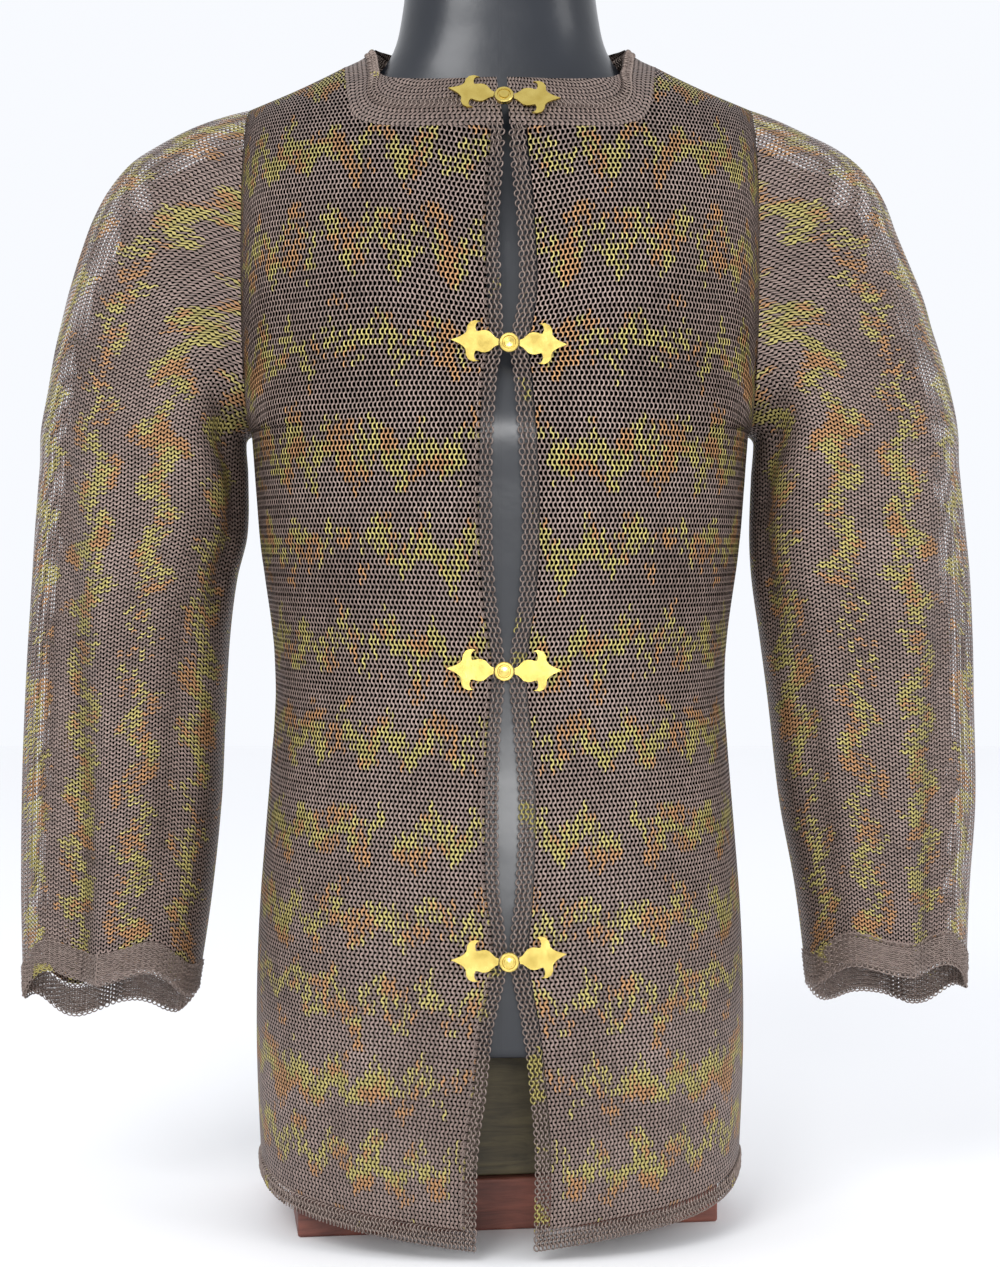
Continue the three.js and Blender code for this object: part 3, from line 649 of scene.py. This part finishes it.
surfaces = {}
for name, side in (("right", "front"), ("left", "front")):
    points, u, v = torsoSurface(side, name, fine)
    depth = creaseDepth(torsoCreases[name], np.abs(points[..., 0]), points[..., 2])
    edgeFade = smoothStep(np.abs(points[..., 1]), 0, 40)
    points = pressCreases(points, depth * edgeFade, points * [0.2, 1, 0.1])
    surfaces["front" + name.capitalize()] = (points, u, v)

half = torsoSurface("back", "left", fine)
mirrored = [np.flip(half[0] * [-1, 1, 1], 1), -np.flip(half[1], 1), np.flip(half[2], 1)]
points, u, v = (np.concatenate([m[:, :-1], h], 1) for m, h in zip(mirrored, half))
depth = creaseDepth(torsoCreases["back"], points[..., 0], points[..., 2])
points = pressCreases(points, depth * smoothStep(np.abs(points[..., 1]), 0, 40), points * [0.2, 1, 0.1])
surfaces["back"] = (points, u, v)

for name in ("right", "left"):
    points, u, v = sleeveSurface(name, fine)
    shareRound = np.repeat(np.linspace(0, 1, points.shape[1])[None], len(points), 0)
    upFromCuff = u * ring["pitch"]
    girth = 330.0  # mm round a sleeve, so that creases are as wide both ways
    creases = [(a0 * girth, b0, a1 * girth, b1, *size) for a0, b0, a1, b1, *size in sleeveCreases[name]]
    depth = creaseDepth(creases, shareRound * girth, upFromCuff)
    still = smoothStep(np.arange(len(points)) / fine["fan"], 0.1, 0.6)[:, None]
    middle = points.mean(axis=1, keepdims=True)
    points = pressCreases(points, depth * still, points - middle)
    surfaces["sleeve" + name.capitalize()] = (points, u, v)
print("surfaces of the mail")



# rings of real wire where the mail ends in the open: edges, hem, cuffs and the collar's top
# Points on a grid at pairs of (fixed, free) coordinates, with the directions along both. The fixed
# coordinate depends on the column alone, and the free one runs along each column.
def placeRings(points, fixed, free, pairs):
    place, alongFixed, alongFree = [], [], []
    columns = np.arange(len(fixed))
    for value in np.unique(pairs[:, 0]):
        wanted = pairs[pairs[:, 0] == value, 1]
        at = np.interp(value, fixed, columns)
        c = int(min(np.floor(at), len(fixed) - 2))
        line = lerp(points[:, c], points[:, c + 1], at - c)
        run = lerp(free[:, c], free[:, c + 1], at - c)
        order = np.argsort(run)
        line, run = line[order], run[order]
        wanted = wanted[(wanted >= run[0] - 0.4) & (wanted <= run[-1] + 0.4)]
        along = lambda where: np.stack([np.interp(where, run, line[:, k]) for k in range(3)], 1)
        here, ahead, behind = (along(wanted + step) for step in (0, 0.5, -0.5))
        row = np.interp(wanted, run, np.arange(len(run))[order].astype(float)).round().astype(int)
        row = np.clip(row, 0, len(points) - 1)
        place.append(here)
        alongFree.append(ahead - behind)
        alongFixed.append(points[row, c + 1] - points[row, c])
    unit = lambda d: d / np.maximum(np.linalg.norm(d, axis=1, keepdims=True), 1e-9)
    return np.concatenate(place), unit(np.concatenate(alongFixed)), unit(np.concatenate(alongFree))


# Rings of round wire, 10 segments by 4 sides, each leaning about its cross direction.
def ringMesh(name, centres, rowWay, crossWay, odd, material, seed, leaning):
    chance = np.random.default_rng(seed)
    count = len(centres)
    out = np.cross(rowWay, crossWay)
    out /= np.maximum(np.linalg.norm(out, axis=1, keepdims=True), 1e-9)
    lean = (np.where(odd, -1, 1) * np.radians(chance.normal(leaning, 5, count)))[:, None]
    swing = chance.normal(0, 0.06, (count, 1))
    spread = rowWay * np.cos(lean) + out * np.sin(lean)
    tall = crossWay * np.cos(swing) + out * np.sin(swing)
    axis = np.cross(spread, tall)
    theta = (np.arange(10) / 10 * 2 * np.pi)[None, :, None, None]
    phi = (np.arange(4) / 4 * 2 * np.pi + np.pi / 4)[None, None, :, None]
    size = ring["radius"] * (1 + 0.03 * chance.standard_normal(count))[:, None, None, None]
    radial = spread[:, None, None] * np.cos(theta) + tall[:, None, None] * np.sin(theta)
    wire = ring["wire"] * 1.08
    aside = axis[:, None, None] * wire * np.sin(phi)
    vertices = centres[:, None, None] + radial * (size + wire * np.cos(phi)) + aside
    k, s, p = np.meshgrid(np.arange(count) * 40, np.arange(10), np.arange(4), indexing="ij")
    corner = lambda a, b: (k + (s + a) % 10 * 4 + (p + b) % 4).ravel()
    faces = np.stack([corner(0, 0), corner(1, 0), corner(1, 1), corner(0, 1)], 1)
    return newMesh(name, vertices.reshape(-1, 3), faces, material)


# Rings at (u, v) pairs. rowsRun tells whether the rows run across the grid's columns or along them.
def ringsOn(name, surface, pairs, rowsRun, material, seed, leaning=42):
    points, u, v = surface
    if rowsRun == "across":
        pairs = pairs[np.argsort(pairs[:, 0], kind="stable")]
        centres, fixedWay, freeWay = placeRings(points, u[0], v, pairs)
        rowWay, crossWay = fixedWay, freeWay
        kept = keptPairs(points, u[0], v, pairs)
        odd = kept[:, 1].round().astype(int) % 2 == 1
    else:
        swapped = pairs[:, ::-1]
        swapped = swapped[np.argsort(swapped[:, 0], kind="stable")]
        centres, fixedWay, freeWay = placeRings(points, v[0], u, swapped)
        rowWay, crossWay = freeWay, fixedWay
        kept = keptPairs(points, v[0], u, swapped)
        odd = kept[:, 0].round().astype(int) % 2 == 1
    return ringMesh(name, centres, rowWay, crossWay, odd, material, seed, leaning)


# The pairs that lie on the grid, in the order that placeRings gives them.
def keptPairs(points, fixed, free, pairs):
    kept = []
    for value in np.unique(pairs[:, 0]):
        at = np.interp(value, fixed, np.arange(len(fixed)))
        c = int(min(np.floor(at), len(fixed) - 2))
        run = lerp(free[:, c], free[:, c + 1], at - c)
        wanted = pairs[pairs[:, 0] == value]
        kept.append(wanted[(wanted[:, 1] >= run.min() - 0.4) & (wanted[:, 1] <= run.max() + 0.4)])
    return np.concatenate(kept)


# Ring places on whole rows and columns; odd rows are half a pitch along.
def lattice(us, vs):
    a, b = np.meshgrid(us, vs)
    return np.stack([(a + 0.5 * (b.round().astype(int) % 2)).ravel(), b.ravel()], 1)


# Drawn iron wire, browned, with brighter worn spots that give the eye single rings at the edges.
def wireMaterial(name, dark, light, brass):
    material, tree = newMaterial(name)
    calc = maths(tree)
    place = addNode(tree, "ShaderNodeTexCoord").outputs["Object"]
    broadSize = {"Vector": place, "Scale": 26.0, "Detail": 2.0}
    broad = addNode(tree, "ShaderNodeTexNoise", {}, broadSize).outputs[0]
    closeSize = {"Vector": place, "Scale": 420.0, "Detail": 2.0}
    close = addNode(tree, "ShaderNodeTexNoise", {}, closeSize).outputs[0]
    iron = addNode(
        tree, "ShaderNodeMix", {"data_type": "RGBA"}, {0: close, 6: linear(dark), 7: linear(light)}
    ).outputs[2]
    share = calc("GREATER_THAN", calc("MULTIPLY_ADD", close, 0.25, broad), 0.78)
    colour = addNode(
        tree, "ShaderNodeMix", {"data_type": "RGBA"}, {0: share, 6: iron, 7: linear(brass)}
    ).outputs[2]
    rough = calc("MULTIPLY_ADD", close, 0.3, 0.28)
    metal = addNode(
        tree, "ShaderNodeBsdfPrincipled", {}, {"Base Color": colour, "Metallic": 0.75, "Roughness": rough}
    )
    addNode(tree, "ShaderNodeOutputMaterial", {}, {"Surface": metal.outputs[0]})
    return material


wire = wireMaterial("brownedIronWire", "#62544e", "#aa9a91", "#aca064")
sheets = {}


def trimmed(surface, rows, columns):
    points, u, v = surface
    return points[rows, columns], u[rows, columns], v[rows, columns]


hemRows, edgeColumns, cuffColumns = 4, 3, 7
for key, node in (("frontRight", "front_right"), ("frontLeft", "front_left"), ("back", "back")):
    points, u, v = surfaces[key]
    isFront = key != "back"
    firstRow = int(np.argmax(v[:, 0] >= hemRows - 0.6))
    firstColumn = int(np.argmax(u[0] >= edgeColumns - 0.6)) if isFront else 0
    cut = trimmed(surfaces[key], slice(firstRow, None), slice(firstColumn, None))
    shell = keepRide(gridMesh(key, *cut, mail["torso"], awayFromSpine), "mail", node)
    low, high = np.ceil(u[0, 0]), np.floor(u[0, -1])
    pairs = [lattice(np.arange(low + 0.3, high), np.arange(0, hemRows) + 0.0)]
    if isFront:
        pairs.append(lattice(np.arange(0, edgeColumns) + 0.3, np.arange(hemRows, np.floor(v[-1, 0]) + 1)))
    rings = ringsOn(key + "Rings", surfaces[key], np.concatenate(pairs), "across", wire, 11 + len(key))
    keepRide(rings, "mail")
    sheets[key] = (shell, rings)

for key, node in (("sleeveRight", "sleeve_right"), ("sleeveLeft", "sleeve_left")):
    points, u, v = surfaces[key]
    lastRow = int(np.argmax(u.mean(axis=1) < cuffColumns - 0.2))
    cut = trimmed(surfaces[key], slice(0, lastRow), slice(None))
    axis = points.mean(axis=(0, 1))
    outward = lambda m, a=axis: (m - a) * [1, 1, 0]
    shell = keepRide(gridMesh(key, *cut, mail["sleeve"], outward, wrap=True), "mail", node)
    pairs = lattice(np.arange(0, cuffColumns) + 0.3, np.arange(np.ceil(v[0, 0]), np.floor(v[0, -1])))
    rings = ringsOn(key + "Rings", surfaces[key], pairs, "along", wire, 21 + len(key), leaning=24)
    keepRide(rings, "mail")
    sheets[key] = (shell, rings)
print("shells of the mail and their edge rings")


# the collar: a band linked to the neckline, of iron rings alone
def collarSurface(name, turns):
    folded = np.minimum(turns, 2 - turns)
    head = np.stack([smoothCurve(collarTop["turn"], collarTop[k])(folded) for k in "xyz"], 1)
    sign = np.where(turns > 1, -1, 1) * (-1 if name == "Right" else 1)
    head[:, 0] *= sign
    if name != "Back":
        edge = edgeX["right" if name == "Right" else "left"]
        head[:, 0] += sign * edge(head[:, 2]) * np.maximum(1 - folded / 0.3, 0)
    side = np.where(folded < 0.5, "front", "back")
    share = neckShare * np.sin(np.where(folded < 0.5, folded * 2, 2 - folded * 2) * np.pi / 2)
    foot = []
    for f, sh, sg in zip(side, share, sign):
        key = "right" if sg < 0 else "left"
        x = sh * armholeX
        if f == "front":
            x += sg * edgeX[key](neckline["front"][0]) * max(1 - sh / neckShare, 0)
        z = float(neckZ[f](abs(x)))
        y = float(standOut(f, np.array(x), np.array(z))) + seam / 2
        foot.append((sg * x, -y if f == "front" else y, z))
    foot = np.array(foot)
    t = np.linspace(-0.03, 1, 14)[:, None, None]
    points = foot[None] * (1 - t) + head[None] * t
    girth = lengthAlong(points[6:7], 1)[0] / ring["pitch"]
    u = np.repeat(girth[None], len(points), 0)
    v = lengthAlong(points, 0) / 3.0
    return points, u, v


corner = 0.42
collars = {
    "collarRight": (collarSurface("Right", np.linspace(0, corner, 40)), "collar_right"),
    "collarLeft": (collarSurface("Left", np.linspace(0, corner, 40)), "collar_left"),
    "collarBack": (collarSurface("Back", np.linspace(corner, 2 - corner, 90)), "collar_back"),
}
for key, (surface, node) in collars.items():
    shell = keepRide(gridMesh(key, *surface, mail["collar"], awayFromSpine), "iron_mail", node)
    points, u, v = surface
    top = float(np.floor(v[-1].min()))
    pairs = lattice(np.arange(0.3, u[0, -1]), np.arange(top - 1, top + 1))
    rings = ringsOn(key + "Rings", surface, pairs, "across", wire, 31 + len(key))
    keepRide(rings, "iron_mail")
    sheets[key] = (shell, rings)
print("collar")


# the torso form: one smooth body, with a softened lower edge
def loftedBody(name, material):
    low = [z for z in bodySections["z"] if formFoot + 20 < z < armpitZ + 1]
    mailCurves = (bodyHalf, bodyDepth["front"], bodyDepth["back"])
    within = lambda z: tuple(curve(z) - formClear for curve in mailCurves)
    zs = np.array([formFoot, *low, *formTop["z"]], float)
    above = zip(formTop["half"], formTop["front"], formTop["back"])
    sizes = np.array([within(formFoot), *map(within, low), *above])
    curves = [smoothCurve(zs, sizes[:, k]) for k in range(3)]
    lowEdge = formFoot + formEdge * (1 - np.cos(np.linspace(0, np.pi / 2, 5)))
    z = np.concatenate([lowEdge, np.linspace(130, 857, 150), [860]])
    rise = formEdge - (z - formFoot)
    shrink = np.where(rise > 0, formEdge - np.sqrt(np.maximum(formEdge**2 - rise**2, 0)), 0)
    phi = np.linspace(0, 2 * np.pi, 121)[:-1][None]
    y = bow(np.sin(phi), bodyRound)
    half, ahead, behind = ((c(z) - shrink)[:, None] for c in curves)
    x = half * bow(np.cos(phi), bodyRound)
    points = np.stack([x, y * np.where(y < 0, ahead, behind), np.repeat(z[:, None], 120, 1)], 2)
    rows = len(z)
    vertices = np.concatenate([points.reshape(-1, 3), [[0, 0, z[0]], [0, 0, z[-1]]]])
    i, j = np.meshgrid(np.arange(rows - 1), np.arange(120), indexing="ij")
    n = (j + 1) % 120
    sides = np.stack([i * 120 + j, i * 120 + n, (i + 1) * 120 + n, (i + 1) * 120 + j], 2).reshape(-1, 4)
    k = np.arange(120)
    mesh = bpy.data.meshes.new(name)
    foot = [(rows * 120, (a + 1) % 120, a) for a in k.tolist()]
    head = [(rows * 120 + 1, (rows - 1) * 120 + a, (rows - 1) * 120 + (a + 1) % 120) for a in k.tolist()]
    mesh.from_pydata((vertices * mm).tolist(), [], sides.tolist() + foot + head)
    mesh.polygons.foreach_set("use_smooth", [True] * len(sides) + [False] * 240)
    mesh.materials.append(material)
    body = bpy.data.objects.new(name, mesh)
    bpy.context.scene.collection.objects.link(body)
    return body


# Glossy blue-black paint over a cast body: faint lighter blue clouds, partly the paint's own mottling and
# partly painted reflection, and a soft seam down the middle.
def paintMaterial():
    material, tree = newMaterial("glossyBlueBlackPaint")
    calc = maths(tree)
    place = addNode(tree, "ShaderNodeTexCoord").outputs["Object"]
    cloud = addNode(tree, "ShaderNodeTexNoise", {}, {"Vector": place, "Scale": 9.0, "Detail": 4.0}).outputs[0]
    spotsSize = {"Vector": place, "Scale": 60.0, "Detail": 3.0}
    spots = addNode(tree, "ShaderNodeTexNoise", {}, spotsSize).outputs[0]
    # The lighter blue clouds are partly the paint's mottling and partly painted reflection.
    colour = addNode(
        tree, "ShaderNodeMix", {"data_type": "RGBA"}, {0: cloud, 6: linear("#04060a"), 7: linear("#151c28")}
    ).outputs[2]
    rough = calc("MULTIPLY_ADD", cloud, 0.25, 0.2)
    x = addNode(tree, "ShaderNodeSeparateXYZ", inputs={0: place}).outputs[0]
    dent = calc("MULTIPLY", calc("LESS_THAN", calc("ABSOLUTE", x), 0.0008), -0.35)
    height = calc("MULTIPLY_ADD", spots, 0.35, dent)
    bump = addNode(tree, "ShaderNodeBump", {}, {"Height": height, "Strength": 0.6, "Distance": 1.2 * mm})
    paint = addNode(
        tree,
        "ShaderNodeBsdfPrincipled",
        {},
        {
            "Base Color": colour,
            "Roughness": rough,
            "Normal": bump.outputs[0],
            "Coat Weight": 0.15,
            "Coat Roughness": 0.2,
        },
    )
    addNode(tree, "ShaderNodeOutputMaterial", {}, {"Surface": paint.outputs[0]})
    return material


keepRide(loftedBody("torsoForm", paintMaterial()), "form", "torso_form")
print("torso form")


# Planed boards with long grain and soft blotches. Grain lines are real size, 2-5 mm apart.
def woodMaterial(name, dark, light, tall):
    material, tree = newMaterial(name)
    calc = maths(tree)
    place = addNode(tree, "ShaderNodeTexCoord").outputs["Object"]
    stretch = (5.0, 60.0, 90.0) if not tall else (7.0, 60.0, 70.0)
    along = addNode(tree, "ShaderNodeMapping", {}, {"Vector": place, "Scale": stretch}).outputs[0]
    grainSize = {"Vector": along, "Scale": 2.2, "Detail": 6.0, "Roughness": 0.65, "Distortion": 0.8}
    grain = addNode(tree, "ShaderNodeTexNoise", {}, grainSize).outputs[0]
    blotchSize = {"Vector": place, "Scale": 22.0, "Detail": 3.0}
    blotch = addNode(tree, "ShaderNodeTexNoise", {}, blotchSize).outputs[0]
    mixed = calc("MULTIPLY_ADD", blotch, 0.6, calc("MULTIPLY", grain, 0.7))
    spread = {"Value": mixed, "From Min": 0.42, "From Max": 0.85, "To Min": 0.0, "To Max": 1.0}
    ramp = addNode(tree, "ShaderNodeMapRange", {}, spread).outputs[0]
    colour = addNode(
        tree, "ShaderNodeMix", {"data_type": "RGBA"}, {0: ramp, 6: linear(dark), 7: linear(light)}
    ).outputs[2]
    bump = addNode(tree, "ShaderNodeBump", {}, {"Height": grain, "Strength": 0.5, "Distance": 0.8 * mm})
    rough = calc("MULTIPLY_ADD", grain, 0.25, 0.42)
    finish = {"Base Color": colour, "Roughness": rough, "Normal": bump.outputs[0]}
    wood = addNode(tree, "ShaderNodeBsdfPrincipled", {}, finish)
    addNode(tree, "ShaderNodeOutputMaterial", {}, {"Surface": wood.outputs[0]})
    return material


# A board turned with the stand, its edges rounded over.
def board(name, low, high, width, depth, setBack, rounding, material):
    turn = math.radians(stand["turn"])
    behind = setBack + depth / 2
    middleX = stand["frontX"] - math.sin(turn) * behind
    middleY = stand["frontY"] + math.cos(turn) * behind
    mesh = bpy.data.meshes.new(name)
    shape = bmesh.new()
    bmesh.ops.create_cube(shape, size=1)
    for vertex in shape.verts:
        x, y, z = vertex.co.x * width, vertex.co.y * depth, (vertex.co.z + 0.5) * (high - low) + low
        vertex.co = (
            (middleX + x * math.cos(turn) - y * math.sin(turn)) * mm,
            (middleY + x * math.sin(turn) + y * math.cos(turn)) * mm,
            z * mm,
        )
    bmesh.ops.bevel(shape, geom=shape.edges[:], offset=rounding * mm, segments=3, affect="EDGES", profile=0.5)
    shape.to_mesh(mesh)
    shape.free()
    mesh.polygons.foreach_set("use_smooth", [True] * len(mesh.polygons))
    mesh.materials.append(material)
    piece = bpy.data.objects.new(name, mesh)
    bpy.context.scene.collection.objects.link(piece)
    weighted = piece.modifiers.new("flatFaces", "WEIGHTED_NORMAL")
    weighted.keep_sharp = True
    return piece


keepRide(
    board("riser", 34.3, 123.7, 150, 110, 6, 1.2, woodMaterial("dullOliveWood", "#2e271b", "#6f6446", True)),
    "riser_wood",
    "riser",
)
keepRide(
    board("plank", 0, 34, 276, 150, 0, 2.0, woodMaterial("redBrownWood", "#43201a", "#8a5142", False)),
    "plank_wood",
    "plank",
)
print("boards")


# Polished yellow brass, a little cloudy, with fine scratches that spread its highlights.
def brassMaterial():
    material, tree = newMaterial("polishedYellowBrass")
    calc = maths(tree)
    place = addNode(tree, "ShaderNodeTexCoord").outputs["Object"]
    cloudSize = {"Vector": place, "Scale": 130.0, "Detail": 4.0}
    cloud = addNode(tree, "ShaderNodeTexNoise", {}, cloudSize).outputs[0]
    drawn = {"Vector": place, "Rotation": (0.0, 0.5, 0.0), "Scale": (900.0, 900.0, 90.0)}
    scratch = addNode(tree, "ShaderNodeMapping", {}, drawn).outputs[0]
    lineSize = {"Vector": scratch, "Scale": 2.0, "Detail": 3.0}
    lines = addNode(tree, "ShaderNodeTexNoise", {}, lineSize).outputs[0]
    colour = addNode(
        tree, "ShaderNodeMix", {"data_type": "RGBA"}, {0: cloud, 6: linear("#b59a45"), 7: linear("#dcc877")}
    ).outputs[2]
    rough = calc("MULTIPLY_ADD", cloud, 0.2, 0.14)
    bump = addNode(tree, "ShaderNodeBump", {}, {"Height": lines, "Strength": 0.25, "Distance": 0.3 * mm})
    metal = addNode(
        tree,
        "ShaderNodeBsdfPrincipled",
        {},
        {"Base Color": colour, "Metallic": 1.0, "Roughness": rough, "Normal": bump.outputs[0]},
    )
    addNode(tree, "ShaderNodeOutputMaterial", {}, {"Surface": metal.outputs[0]})
    return material


brass = brassMaterial()
# Flat cuts in metres, all round on the tubes: width, length and area of what shows.
cuts = {
    "frontRight": (0.252, 0.790, 0.150),
    "frontLeft": (0.244, 0.790, 0.142),
    "back": (0.451, 0.776, 0.305),
    "sleeveRight": (0.585, 0.657, 0.225),
    "sleeveLeft": (0.585, 0.644, 0.220),
    "collarRight": (0.135, 0.043, 0.0040),
    "collarLeft": (0.129, 0.044, 0.0039),
    "collarBack": (0.377, 0.033, 0.0100),
}
for key, (width, length, area) in cuts.items():
    shell, rings = sheets[key]
print("sheets")

nodes = frame["nodes"]
for name, node in nodes.items():
    if name.startswith("clasp"):
        node.data.materials.clear()
        node.data.materials.append(brass)
        for face in node.data.polygons:
            face.use_smooth = False
print("clasps")

floorMesh = bpy.data.meshes.new("floor")
floorMesh.from_pydata([(-6, -6, 0), (6, -6, 0), (6, 6, 0), (-6, 6, 0)], [], [(0, 1, 2, 3)])
floorMaterial, floorTree = newMaterial("palePaperFloor")
floorNoise = addNode(floorTree, "ShaderNodeTexNoise", {}, {"Scale": 1.5})
floorColour = addNode(
    floorTree,
    "ShaderNodeMix",
    {"data_type": "RGBA"},
    {0: floorNoise.outputs[0], 6: linear("#f4f4f6"), 7: linear("#ffffff")},
)
paperFinish = {"Base Color": floorColour.outputs[2], "Roughness": 0.9}
paper = addNode(floorTree, "ShaderNodeBsdfPrincipled", {}, paperFinish)
addNode(floorTree, "ShaderNodeOutputMaterial", {}, {"Surface": paper.outputs[0]})
floorMesh.materials.append(floorMaterial)
floor = bpy.data.objects.new("floor", floorMesh)
bpy.context.scene.collection.objects.link(floor)

camera = bpy.data.cameras.new("camera")
camera.lens = 61.5
camera.sensor_width = 36
camera.sensor_fit = "AUTO"
cameraObject = bpy.data.objects.new("camera", camera)
bpy.context.scene.collection.objects.link(cameraObject)
cameraObject.location = (0.0, -1.45, 0.388)
cameraObject.rotation_euler = (math.pi / 2, 0, 0)
bpy.context.scene.camera = cameraObject
bpy.context.scene.view_settings.view_transform = "Standard"

world = bpy.data.worlds.new("studio")
bpy.context.scene.world = world
world.use_nodes = True
world.node_tree.nodes["Background"].inputs[0].default_value = (0.94, 0.96, 1.0, 1)
world.node_tree.nodes["Background"].inputs[1].default_value = 1.0


def areaLight(name, place, aim, size, power):
    light = bpy.data.lights.new(name, "AREA")
    light.shape = "RECTANGLE"
    light.size, light.size_y = size
    light.energy = power
    lamp = bpy.data.objects.new(name, light)
    bpy.context.scene.collection.objects.link(lamp)
    lamp.location = place
    lamp.rotation_euler = Vector(np.array(aim) - np.array(place)).to_track_quat("-Z", "Y").to_euler()


areaLight("key", (-0.9, -2.0, 1.9), (0, 0, 0.45), (1.2, 1.0), 30)
areaLight("fill", (1.9, -1.3, 1.0), (0, 0, 0.4), (0.8, 1.6), 12)
areaLight("front", (0.1, -2.0, 0.62), (0, 0, 0.5), (0.4, 0.3), 10)
